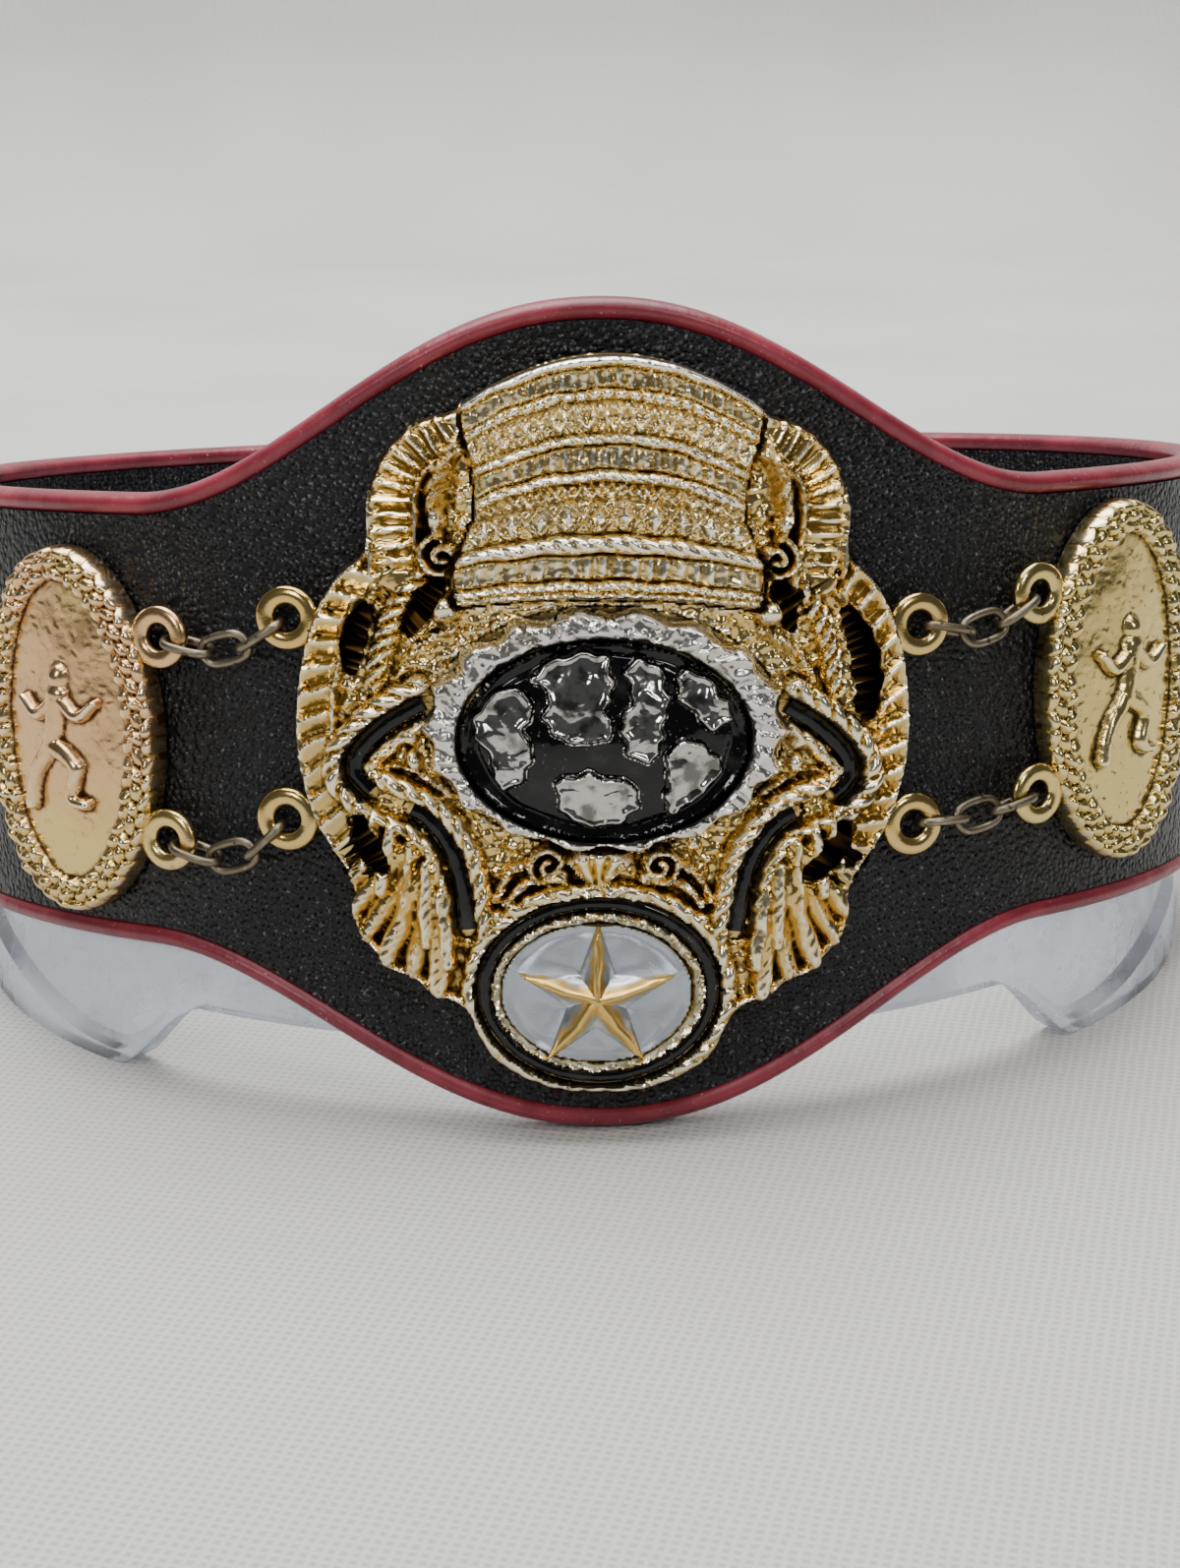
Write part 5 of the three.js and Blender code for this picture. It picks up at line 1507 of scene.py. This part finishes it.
@dataclass(frozen=True)
class Enamel:
    """Thick black enamel, glassy, with a little dust on it."""

    name: str = "black_enamel"
    body: str = "060607"
    dust: str = "6f6e6c"
    rough: float = 0.06

    def material(self) -> bpy.types.Material:
        """Builds the material. Dust settles in small specks, and the glaze is slightly wavy."""
        look, shader = blank(self.name)
        where = add(look, Kind.PLACE)
        specks = add(look, Kind.RAMP, add(look, Kind.CLOUDS, where, every(0.22), 5), 0.66, 0.74, 0, 0.7)
        haze = add(look, Kind.RAMP, add(look, Kind.CLOUDS, where, every(2.0), 3), 0.5, 0.8, 0, 0.12)
        most = add(look, Kind.MATH, specks, haze, operation="MAXIMUM")
        body = add(look, Kind.COLOURS, most, colour(self.body), colour(self.dust))
        dull = add(look, Kind.RAMP, most, 0, 0.6, self.rough, 0.6)
        bump = add(look, Kind.BUMP, 0.3, 0.12 * MM, add(look, Kind.CLOUDS, where, every(1.4), 2))
        feed(look, shader, {"Base Color": body, "Roughness": dull, "Normal": bump, "Specular IOR Level": 0.35})
        return look


@dataclass(frozen=True)
class Leather:
    """Embossed leather-look strip: a fine pebble, almost black, with pale specks that are partly dust and partly
    painted glints.
    """

    name: str = "black_leather"
    body: str = "0c0c0e"
    rise: str = "161619"
    # Colour of the pale specks: dust and painted glints.
    dust: str = "6b6765"
    pebble: float = 0.42
    rough: float = 0.33
    emboss: float = 1.3

    def material(self) -> bpy.types.Material:
        """Builds the material on the strip's flat coordinates, so that the pebble runs along it."""
        look, shader = blank(self.name)
        cells = add(look, Kind.CELLS, add(look, Kind.FLAT), 1 / self.pebble)
        height = add(look, Kind.RAMP, cells, 0.2, 0.75, 1, 0)
        where = add(look, Kind.PLACE)
        worn = add(look, Kind.RAMP, add(look, Kind.CLOUDS, where, every(9.0), 4), 0.4, 0.7)
        body = add(look, Kind.COLOURS, worn, colour(self.body), colour(self.rise))
        # Pale specks: partly dust, partly painted glints on the pebble.
        specks = add(look, Kind.RAMP, add(look, Kind.CLOUDS, where, every(0.26), 6), 0.61, 0.7, 0, 0.85)
        body = add(look, Kind.COLOURS, specks, body, colour(self.dust))
        dull = add(look, Kind.RAMP, specks, 0, 1, self.rough, 0.8)
        bump = add(look, Kind.BUMP, self.emboss, 0.1 * MM, height)
        feed(look, shader, {"Base Color": body, "Roughness": dull, "Normal": bump, "Specular IOR Level": 0.28})
        return look


@dataclass(frozen=True)
class RolledEdge:
    """The red rolled edge: smooth coated fabric with fine creases across it."""

    name: str = "red_edge"
    body: str = "6f1c2a"
    rise: str = "8a2c3a"
    lint: str = "b7a3a6"
    rough: float = 0.36

    def material(self) -> bpy.types.Material:
        """Builds the material. The creases follow the edge's flat coordinates."""
        look, shader = blank(self.name)
        stretched = add(look, Kind.MAPPING, add(look, Kind.FLAT), (0, 0, 0), (1.0, 0.25, 0.25))
        creases = add(look, Kind.CLOUDS, stretched, 1.1, 4)
        where = add(look, Kind.PLACE)
        worn = add(look, Kind.RAMP, add(look, Kind.CLOUDS, where, every(4), 3), 0.4, 0.65)
        body = add(look, Kind.COLOURS, worn, colour(self.body), colour(self.rise))
        specks = add(look, Kind.RAMP, add(look, Kind.CLOUDS, where, every(0.25), 6), 0.66, 0.74, 0, 0.6)
        body = add(look, Kind.COLOURS, specks, body, colour(self.lint))
        bump = add(look, Kind.BUMP, 0.5, 0.2 * MM, creases)
        feed(look, shader, {"Base Color": body, "Roughness": self.rough, "Normal": bump})
        return look


@dataclass(frozen=True)
class ClearPlastic:
    """Moulded clear plastic, somewhat milky, with broader milkier patches that paint window reflections, and scuffs
    that dull it.
    """

    name: str = "clear_plastic"
    body: str = "eef4fd"
    rough: float = 0.16

    def material(self) -> bpy.types.Material:
        """Builds the material. Scuffs dull the surface here and there."""
        look, shader = blank(self.name)
        where = add(look, Kind.PLACE)
        scuffed = add(look, Kind.CLOUDS, where, every(1.2), 6)
        scuffs = add(look, Kind.RAMP, scuffed, 0.45, 0.75, self.rough, self.rough + 0.25)
        # Painted reflection: broad patches transmit less and show milky white, as window reflections, over a plastic
        # that is milky throughout.
        milk_and_reflections = add(look, Kind.RAMP, add(look, Kind.CLOUDS, where, every(11.0), 2), 0.42, 0.6, 0.35, 0.8)
        feed(look, shader, {"Base Color": colour(self.body), "Roughness": scuffs, "IOR": 1.49})
        feed(look, shader, {"Transmission Weight": milk_and_reflections})
        return look


@dataclass(frozen=True)
class Cloth:
    """The pale woven cloth under the belt, which is also the wall behind it."""

    name: str = "pale_cloth"
    body: str = "c9c9c7"
    # Colour of painted shade in broad patches on the flat cloth.
    crease: str = "b9b6b1"
    gap: str = "b0ada7"
    thread: float = 0.6
    turn: float = 0.3

    def material(self) -> bpy.types.Material:
        """Builds the material: crossed threads, coarser than the real ones to show, and lost far off."""
        look, shader = blank(self.name)
        where = add(look, Kind.PLACE)
        turned = add(look, Kind.MAPPING, where, (0, 0, self.turn))
        scale = 0.314 / (self.thread * MM)
        heights = [
            add(look, Kind.THREADS, turned, scale, 2.2, 3, bands_direction=axis) for axis in ("X", "Y")
        ]
        crossed = add(look, Kind.MATH, *heights, operation="MAXIMUM")
        bump = add(look, Kind.BUMP, 0.4, 0.15 * MM, crossed)
        shown = add(look, Kind.RAMP, add(look, Kind.DEPTH, where), -0.02, 0.12, 1, 0)
        dim = add(look, Kind.MATH, 1.0, crossed, operation="SUBTRACT")
        dark = add(look, Kind.MATH, dim, shown, operation="MULTIPLY")
        # Painted shade: broad darker patches over the flat cloth.
        shade_patches = add(look, Kind.RAMP, add(look, Kind.CLOUDS, where, every(60.0), 2), 0.35, 0.7, 0, 0.45)
        body = add(look, Kind.COLOURS, shade_patches, colour(self.body), colour(self.crease))
        body = add(look, Kind.COLOURS, dark, body, colour(self.gap))
        feed(look, shader, {"Base Color": body, "Roughness": 0.95, "Normal": bump, "Specular IOR Level": 0.1})
        return look


@dataclass(frozen=True)
class Finishes:
    """Every material of the belt."""

    gold: bpy.types.Material
    crown: bpy.types.Material
    silver: bpy.types.Material
    land: bpy.types.Material
    satin: bpy.types.Material
    star: bpy.types.Material
    copper: bpy.types.Material
    yellow: bpy.types.Material
    chain: bpy.types.Material
    enamel: bpy.types.Material
    leather: bpy.types.Material
    edge: bpy.types.Material
    clear: bpy.types.Material


def finishes() -> Finishes:
    """Mixes the materials."""
    return Finishes(
        gold=CastMetal("worn_gold", "d3b36c", "efe4c4", "4a3314", "bfae7c", crest_from=0.03, crest_to=0.2,
                       dirt_and_shade_from=0.08, dirt_and_shade_to=0.4).material(),
        # The crown gets a paler copy of the gold: a painted highlight of the overhead light.
        crown=CastMetal("crown_gold_painted_highlight", "e3cc94", "faf4e2", "6a4d24", "d6cba6", rough=0.2, crest_from=0.01,
                        crest_to=0.16, dirt_and_shade_from=0.12, dirt_and_shade_to=0.5).material(),
        silver=CastMetal("hammered_silver", "d3cfca", "f2f0ec", "55504b", "b8b09c", rough=0.2).material(),
        land=CastMetal(
            "land_silver", "b9b6b0", "e6e4df", "34322f", "5c5a55", rough=0.12, grain=0.05,
            tint_share=0.9, tint_spacing=1.1
        ).material(),
        satin=CastMetal(
            "satin_silver", "b4bac2", "c9cfd6", "70757a", "a6adb4", rough=0.42, crest_rough=0.4, grain=0.35
        ).material(),
        star=CastMetal(
            "gilt_star", "c4cad1", "d5dae0", "8a8f94", "b4babf", rough=0.3, crest_rough=0.28, gilt="dfbb6e"
        ).material(),
        # The side plates darken from shallower hollows, painted shade that outlines the figure, and their pale crests
        # paint highlights.
        copper=CastMetal(
            "copper_brass", "dcb482", "f3dcb4", "5c3f2a", "d6c870", rough=0.22, crest_rough=0.2, specks=0.4,
            tint_spacing=9, dirt_and_shade_from=0.04, dirt_and_shade_to=0.22
        ).material(),
        yellow=CastMetal(
            "yellow_brass", "d9c07a", "eedfae", "4a3c24", "c4b478", rough=0.18, crest_rough=0.22, specks=0.9,
            tint_spacing=6, dirt_and_shade_from=0.04, dirt_and_shade_to=0.22
        ).material(),
        chain=CastMetal("old_chain", "7d7361", "a59c88", "2d261d", "665a44", rough=0.4, specks=0.8).material(),
        enamel=Enamel().material(),
        leather=Leather().material(),
        edge=RolledEdge().material(),
        clear=ClearPlastic().material(),
    )


# The strap, its edges and its studs


@dataclass
class Strap:
    """The leather strip, its rolled edges and the press studs on its overlap."""

    bead_height: float = 1.5
    tuck: float = 0.15
    columns: int = 460
    rows: int = 40
    stud_radius: float = 3.2
    stud_height: float = 1.4
    stud_shares: tuple[float, float] = (0.73, 0.27)

    def stations(self, count: int) -> Array:
        """Lengths along the strap from end to end."""
        return np.linspace(-LOOP.length / 2, LOOP.length / 2 + LOOP.overlap, count)

    def upright(self, edge: Callable[[Array], Array], x: Array, distance: Array | float) -> Array:
        """How far an edge is inset upright when it is inset across its slope."""
        slope = edge(x + 0.5) - edge(x - 0.5)
        return distance * np.hypot(1, slope)

    def strip(self, look: bpy.types.Material) -> None:
        """The leather strip: a grid laid between the rolled edges, given its thickness and wrapped."""
        made = grid("strap", self.columns, self.rows)
        share = places(made)[:, :2] + 0.5
        x = -LOOP.length / 2 + share[:, 0] * (LOOP.length + LOOP.overlap)
        inset = self.bead_height - self.tuck
        low = LOOP.bottom(x) + self.upright(LOOP.bottom, x, inset)
        high = LOOP.top(x) - self.upright(LOOP.top, x, inset)
        y = low + (high - low) * share[:, 1]
        move(made, np.column_stack([x, y, np.full(len(x), -LOOP.strap / 2)]))
        only(made)
        bpy.ops.object.mode_set(mode="EDIT")
        bpy.ops.mesh.select_all(action="SELECT")
        bpy.ops.mesh.extrude_region_move(TRANSFORM_OT_translate={"value": (0, 0, LOOP.strap)})
        bpy.ops.object.mode_set(mode="OBJECT")
        face_out(made)
        wrap(made, lapped=True)
        finish(made, look, ["strap"])

    def edge(self, name: str, line: Callable[[Array], Array], inward: int, look: bpy.types.Material) -> None:
        """A rolled edge: a rounded tube along one edge of the strap, slightly uneven."""
        x = self.stations(560)
        turns = np.linspace(0, 2 * math.pi, 16, endpoint=False)
        rings = np.zeros((len(x), len(turns), 3))
        apart, own = scatter(x, np.zeros(len(x)), 2.3, 5.0)
        crease = 1 - 0.035 * own * np.clip(1 - apart, 0, 1)
        for i, turn in enumerate(turns):
            inset = (1 - math.cos(turn)) / 2
            out = math.sin(turn) * (1 if inset < 0.5 else 0.93)
            rings[:, i, 0] = x
            rings[:, i, 1] = line(x) + inward * self.upright(line, x, inset * self.bead_height)
            rings[:, i, 2] = out * LOOP.bead_depth / 2 * crease
        made = tube(name, rings, closed=False)
        wrap(made, lapped=True)
        finish(made, look, [name], crease=60)

    def stud(self, name: str, share: float, look: bpy.types.Material) -> None:
        """A press stud: a flanged cap with a rounded top."""
        x = LOOP.length / 2 + LOOP.overlap / 2
        y = LOOP.narrow_bottom + LOOP.narrow_height * share
        bpy.ops.object.select_all(action="DESELECT")
        bpy.ops.mesh.primitive_cylinder_add(vertices=48, radius=self.stud_radius, depth=0.4 * self.stud_height)
        made = bpy.context.active_object
        made.name = made.data.name = name
        only(made)
        bpy.ops.object.mode_set(mode="EDIT")
        bpy.ops.mesh.select_all(action="DESELECT")
        bpy.ops.object.mode_set(mode="OBJECT")
        bpy.context.tool_settings.mesh_select_mode = (False, False, True)
        for face in made.data.polygons:
            face.select = face.normal.z > 0.9
        bpy.ops.object.mode_set(mode="EDIT")
        bpy.ops.mesh.inset(thickness=0.16 * self.stud_radius)
        for rise, thickness in ((0.3, 0.03), (0.18, 0.15), (0.1, 0.24)):
            bpy.ops.mesh.extrude_region_move(TRANSFORM_OT_translate={"value": (0, 0, rise * self.stud_height)})
            bpy.ops.mesh.inset(thickness=thickness * self.stud_radius)
        bpy.ops.object.mode_set(mode="OBJECT")
        points = places(made)
        seat = LOOP.lap_step + LEVEL.plate_back
        move(made, points + np.array([x, y, seat + 0.2 * self.stud_height]))
        round_off = made.modifiers.new("round_off", "BEVEL")
        round_off.width = 0.12
        round_off.segments = 3
        bpy.ops.object.modifier_apply(modifier=round_off.name)
        face_out(made)
        note(made, "hollow", np.zeros(len(made.data.vertices)))
        wrap(made)
        finish(made, look, [name])

    def build(self, looks: Finishes) -> None:
        """Makes the strap and all that is sewn or set on it."""
        self.strip(looks.leather)
        self.edge("piping_top", LOOP.top, -1, looks.edge)
        self.edge("piping_bottom", LOOP.bottom, 1, looks.edge)
        for name, share in zip(("snap_upper", "snap_lower"), self.stud_shares):
            self.stud(name, share, looks.gold)


# The plates, their inlays and chains


@dataclass
class FrontPlate:
    """The main plate with its crown, globe, medallion and enamel."""

    eyelet_x: float = 18.546
    eyelet_y: float = 6.094
    enamel_rise: float = 0.42

    def casting(self, looks: Finishes) -> None:
        """The pierced plate itself, with an eye for a chain at each corner."""
        holes = [cut_slot(*slot) for slot in PLATE_SLOTS]
        plate = MainPlate(
            "main_plate", plate_edge(), LEVEL.plate_back, LEVEL.plate_base, 0.14, holes, crown=crown_edge()
        )
        made = plate.flat()
        eyes = [eyelet(sx * self.eyelet_x, sy * self.eyelet_y) for sx in (-1, 1) for sy in (-1, 1)]
        join(made, *eyes)
        on_plate(made)
        finish(made, looks.gold, ["main_plate"])

    def inlays(self, looks: Finishes) -> None:
        """The castings set into the plate."""
        back = LEVEL.plate_base + LEVEL.inlay
        inner, outer = oval(*GLOBE_INNER), oval(*GLOBE_OUTER, steps=180)
        wave = 1 + 0.03 * np.cos(np.linspace(0, 36 * math.pi, 181))[:-1]
        rim = outer.points[:-1] * wave[:, None]
        frame = Line(rim, closed=True, smooth=False)
        share = 1 - 0.02 / GLOBE_INNER[2]
        dome_edge = oval(GLOBE_INNER[0], GLOBE_INNER[1], GLOBE_INNER[2] * share, GLOBE_INNER[3] * share)
        crown = Crown("crown", crown_edge(), back, LEVEL.plate_base, 0.1, shoulder=0.3)
        globe = GlobeFrame("globe_frame", frame, back, LEVEL.plate_base, 0.1, [inner], shoulder=0.35)
        black = GlobeEnamel("globe_enamel", dome_edge, back, LEVEL.plate_base, 0.13, shoulder=0.1, rough=0)
        field_edge = oval(*FIELD)
        satin = StarField("star_field", field_edge, back, LEVEL.plate_base, 0.12, shoulder=0.1, rough=0)
        for casting, look, slot in (
            (crown, looks.crown, "gold"), (globe, looks.silver, "silver"), (black, looks.enamel, "black_enamel"),
            (satin, looks.satin, "satin_silver"),
        ):
            finish(on_plate(casting.flat()), look, [casting.name])

    def lands(self, looks: Finishes) -> None:
        """The raised lands over the globe's dome, hollow below to follow it."""
        x0, y0, half_width, half_height = GLOBE_INNER
        for i, shares in enumerate(LANDS):
            corners = [(x0 + x * half_width, y0 + y * half_height) for x, y in shares]
            edge = self.ragged(Line(corners, closed=True, steps=8), i)
            name = f"land_{i + 1}"
            piece = Land(name, edge, LEVEL.plate_base + 0.2, LEVEL.plate_base, 0.08, shoulder=0.3).flat()
            points = places(piece)
            under = LEVEL.plate_base + 0.2 + dome(points[:, 0], points[:, 1])
            points[:, 2] = np.maximum(points[:, 2], under)
            move(piece, points)
            finish(on_plate(piece), looks.land, [name])

    def ragged(self, edge: Line, number: int) -> Line:
        """A coast: the outline swollen a little, with small capes and bays."""
        points = edge.points[:-1]
        along = np.roll(points, -1, axis=0) - np.roll(points, 1, axis=0)
        out = np.column_stack([along[:, 1], -along[:, 0]]) / np.hypot(*along.T)[:, None]
        middle = points.mean(0)
        if np.sum(out * (points - middle)) < 0:
            out = -out
        swell = 0.12 + 0.2 * wander(points[:, 0], points[:, 1], 0.42, number + 1.0)
        return Line(points + out * swell[:, None], closed=True, smooth=False)

    def star(self, looks: Finishes) -> None:
        """The star over its field."""
        back = LEVEL.plate_base + 0.45 + LEVEL.inlay
        star = Star("star", Line([(0, 0), (1, 0), (0, 1)], closed=True), back, back, 0.07, shoulder=0.22)
        turns = math.pi / 2 - np.arange(10) * math.pi / 5
        reach = np.where(np.arange(10) % 2, star.radius * star.notch, star.radius)
        star.outline = Line(
            np.column_stack([reach * np.cos(turns), reach * np.sin(turns)]), closed=True, smooth=False
        )
        made = star.flat()
        move(made, places(made) + np.array([FIELD[0], FIELD[1] - 0.2, 0]))
        finish(on_plate(made), looks.star, ["star"])

    def enamel(self, looks: Finishes) -> None:
        """The black enamel between the ropes: a low rounded bar along each channel."""
        lines = {"enamel_ring": (oval(*RING_ENAMEL), RING_WIDTH)}
        lines |= {name: (line, STRIP_WIDTH) for name, line in channel_lines().items()}
        low, high = LEVEL.plate_base + LEVEL.inlay, LEVEL.plate_base + self.enamel_rise
        section = [(-1, 0), (1, 0), (1, 0.6), (0.8, 0.85), (0.35, 1), (-0.35, 1), (-0.8, 0.85), (-1, 0.6)]
        for name, (line, width) in lines.items():
            middle, along = line.even(160 if line.closed else 40)
            left = np.column_stack([-along[:, 1], along[:, 0]])
            rings = np.zeros((len(middle), len(section), 3))
            for i, (side, up) in enumerate(section):
                rings[:, i, :2] = middle + left * side * width / 2
                rings[:, i, 2] = low + (high - low) * up
            finish(on_plate(tube(name, rings, closed=line.closed)), looks.enamel, [name], 50)

    def build(self, looks: Finishes) -> None:
        """Makes the plate and all that is set in it."""
        self.casting(looks)
        self.inlays(looks)
        self.lands(looks)
        self.star(looks)
        self.enamel(looks)


@dataclass
class SidePlates:
    """The two oval side plates."""

    half_width: float = 7.3
    half_height: float = 11.6
    eyelet_x: float = 7.836
    eyelet_y: float = 6.276

    def build(self, looks: Finishes) -> None:
        """Makes both plates with their eyes, where the chains hold them."""
        dressed = ((looks.copper, "copper_brass"), (looks.yellow, "yellow_brass"))
        for place, (look, slot) in zip(SIDE_PLACES, dressed):
            name = f"side_plate_{place.name}"
            edge = oval(0, 0, self.half_width, self.half_height, 160)
            made = SidePlate(name, edge, LEVEL.plate_back, LEVEL.side_base, 0.1, shoulder=0.5).flat()
            eyes = [eyelet(-place.side * self.eyelet_x, sy * self.eyelet_y) for sy in (-1, 1)]
            join(made, *eyes)
            flat = places(made)
            note(made, "own", flat)
            x, y = place.centre()
            move(made, flat + np.array([x, y, 0]))
            finish(wrap(made), look, [name])


@dataclass
class Chains:
    """The four chains of three links, cast a little fatter and rounder than their solids."""

    fatten: float = 0.08

    def build(self, looks: Finishes) -> None:
        """Rounds a copy of each link's solid."""
        for side in ("left", "right"):
            for level in ("upper", "lower"):
                for i in (1, 2, 3):
                    self.link(f"link_{side}_{level}_{i}", looks.chain)

    def link(self, name: str, look: bpy.types.Material) -> None:
        """One link: the solid's copy with its faces merged and rounded."""
        source = bpy.data.objects[name]
        only(source)
        bpy.ops.object.duplicate()
        made = bpy.context.active_object
        made.name = made.data.name = f"{name}_rounded"
        only(made)
        bpy.ops.object.mode_set(mode="EDIT")
        bpy.ops.mesh.select_all(action="SELECT")
        bpy.ops.mesh.remove_doubles(threshold=1e-6)
        bpy.ops.mesh.tris_convert_to_quads(face_threshold=0.9, shape_threshold=0.9)
        bpy.ops.object.mode_set(mode="OBJECT")
        rounder = made.modifiers.new("rounder", "SUBSURF")
        rounder.levels = rounder.render_levels = 2
        bpy.ops.object.modifier_apply(modifier=rounder.name)
        points = places(made)
        normals = np.zeros(points.size)
        made.data.vertex_normals.foreach_get("vector", normals)
        move(made, points + normals.reshape(-1, 3) * self.fatten * MM)
        _, own = scatter(points[:, 0] / MM + points[:, 2] / MM, points[:, 1] / MM, 0.5, 2.0)
        note(made, "hollow", 0.3 * (own - 0.6))
        finish(made, look, [name], crease=70)


@dataclass
class DisplayRing:
    """The clear ring inside the loop, which stands on a thick foot at each side."""

    wall: float = 1.2
    gap: float = 0.35
    top: float = 20.0
    lift: float = 4.7
    foot_start: float = 37.0
    foot_landed: float = 47.0
    foot_crest: float = 78.0
    band: float = 0.8
    lip: float = 0.3
    low: float = 0.9
    high: float = 4.2
    bevel: float = 0.7
    clearance: float = 0.8
    steps: int = 300
    rounding: float = 0.2

    def rings(self) -> Array:
        """The ring's sections, in millimetres in the frame's own place."""
        half_width = LOOP.half_width - LOOP.bead_depth / 2 - self.gap
        half_depth = (LOOP.half_depth - LOOP.bead_depth / 2 - self.gap) / math.cos(LOOP.tilt)
        angle = np.arange(self.steps) / self.steps * 2 * math.pi
        from_front = np.degrees(np.minimum(angle, 2 * math.pi - angle))
        from_end = np.minimum(from_front, 180 - from_front)
        landed = soft((from_end - self.foot_start) / (self.foot_landed - self.foot_start))
        swell = soft((from_end - self.foot_landed) / (self.foot_crest - self.foot_landed))
        bottom = self.lift * (1 - landed)
        height = self.low + (self.high - self.low) * swell
        swollen = bottom + self.lip + (height - self.lip) * landed
        depth = LOOP.half_depth * np.cos(angle)
        belt_edge = LOOP.narrow_bottom * math.cos(LOOP.tilt) + depth * math.sin(LOOP.tilt) + LOOP.lift
        under_belt = np.minimum(swollen, belt_edge - self.clearance)
        crease = np.where(from_end > self.foot_start, under_belt, swollen)
        band = self.band * landed
        wall = np.full(self.steps, -self.wall)
        level = np.full(self.steps, self.top)
        none = np.zeros(self.steps)
        section = [
            (none, level), (none, crease + self.bevel), (band, crease), (band, bottom), (wall, bottom), (wall, level),
        ]
        made = np.zeros((self.steps, len(section), 3))
        for i, (offset, z) in enumerate(section):
            made[:, i, 0] = (half_width + offset) * np.sin(angle) + LOOP.shift_x
            made[:, i, 1] = (
                -(half_depth + offset) * np.cos(angle) + (z - LOOP.lift) * math.tan(LOOP.tilt) + LOOP.shift_y
            )
            made[:, i, 2] = z
        return made

    def build(self, looks: Finishes) -> None:
        """Rolls the ring through its sections and rounds its edges."""
        made = tube("display_ring", self.rings() * MM, closed=True)
        only(made)
        round_off = made.modifiers.new("round_off", "BEVEL")
        round_off.width = self.rounding * MM
        round_off.segments = 3
        round_off.limit_method = "ANGLE"
        round_off.angle_limit = math.radians(25)
        bpy.ops.object.modifier_apply(modifier=round_off.name)
        finish(made, looks.clear, ["display_ring"])


# The studio


@dataclass
class Studio:
    """The cloth under the belt, the wall behind it, the lights and the camera."""

    eye: tuple[float, float, float] = (-0.0070, -0.1872, 0.0703)
    ahead: tuple[float, float, float] = (0.0392, 0.9502, -0.3090)
    upward: tuple[float, float, float] = (0.0272, 0.3081, 0.9510)
    lens: float = 60.98
    wall_at: float = 0.46
    half_width: float = 1.4
    nearest: float = -0.7
    wall_height: float = 0.9
    sweep: float = 0.05

    def camera(self) -> None:
        """Stands the camera where the photograph was taken from."""
        data = bpy.data.cameras.new("camera")
        data.sensor_fit = "VERTICAL"
        data.sensor_height = 36
        data.lens = self.lens
        data.clip_start = 0.01
        camera = bpy.data.objects.new("camera", data)
        bpy.context.scene.collection.objects.link(camera)
        ahead = Vector(self.ahead).normalized()
        right = ahead.cross(Vector(self.upward)).normalized()
        upward = right.cross(ahead)
        axes = Matrix((right, upward, -ahead)).transposed()
        camera.matrix_world = Matrix.Translation(self.eye) @ axes.to_4x4()
        bpy.context.scene.camera = camera

    def backdrop(self) -> None:
        """Lays the cloth and bends it up into the wall in one soft sweep."""
        across = np.array([-self.half_width, self.half_width])
        turns = np.linspace(0, math.pi / 2, 14)
        profile = [(self.nearest, 0.0)]
        profile += [
            (self.wall_at - self.sweep + self.sweep * math.sin(t), self.sweep * (1 - math.cos(t))) for t in turns
        ]
        profile.append((self.wall_at, self.wall_height))
        made = grid("backdrop", 1, len(profile) - 1)
        points = [(x, y, z) for y, z in profile for x in across]
        move(made, np.array(points))
        only(made)
        bpy.ops.object.shade_smooth_by_angle(angle=math.radians(40))
        made.data.materials.append(Cloth().material())

    def lamp(
        self, name: str, spot: Sequence[float], aim: Sequence[float], size: Sequence[float], power: float
    ) -> None:
        """Hangs a soft rectangular light.

        Args:
            name: its name.
            spot: where it hangs, in metres.
            aim: the point that it faces.
            size: its width and height.
            power: its power in watts.
        """
        data = bpy.data.lights.new(name, "AREA")
        data.shape = "RECTANGLE"
        data.size, data.size_y = size
        data.energy = power
        lamp = bpy.data.objects.new(name, data)
        bpy.context.scene.collection.objects.link(lamp)
        lamp.location = spot
        lamp.rotation_euler = (Vector(aim) - Vector(spot)).to_track_quat("-Z", "Y").to_euler()

    def lights(self) -> None:
        """One wide light overhead and slightly behind, small windows in front, and a dim surround."""
        self.lamp("overhead", (-0.05, 0.20, 0.75), (0, 0, 0.02), (0.8, 0.5), 10.2)
        self.lamp("wall_wash", (0.0, -0.1, 0.85), (0, 0.5, 0.3), (0.8, 0.3), 4.0)
        self.lamp("left_window", (-0.42, -0.62, 0.42), (0, 0, 0.03), (0.14, 0.2), 1.6)
        self.lamp("right_window", (0.38, -0.66, 0.5), (0, 0, 0.03), (0.14, 0.2), 1.6)
        self.lamp("ceiling_strip", (0.02, -0.5, 0.85), (0, 0, 0.03), (0.5, 0.06), 1.6)
        world = bpy.data.worlds.new("surround")
        bpy.context.scene.world = world
        world.use_nodes = True
        background = world.node_tree.nodes["Background"]
        background.inputs["Color"].default_value = colour("d9dde2")
        background.inputs["Strength"].default_value = 0.15


def main() -> None:
    """Loads the frame, dresses every piece and sets up the studio."""
    logging.basicConfig(level=logging.INFO, format="%(message)s")
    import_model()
    studio = Studio()
    studio.camera()
    looks = finishes()
    for part in (Strap(), FrontPlate(), SidePlates(), Chains(), DisplayRing()):
        part.build(looks)
        LOG.info("%s built", type(part).__name__)
    studio.backdrop()
    studio.lights()


if __name__ == "__main__":
    main()
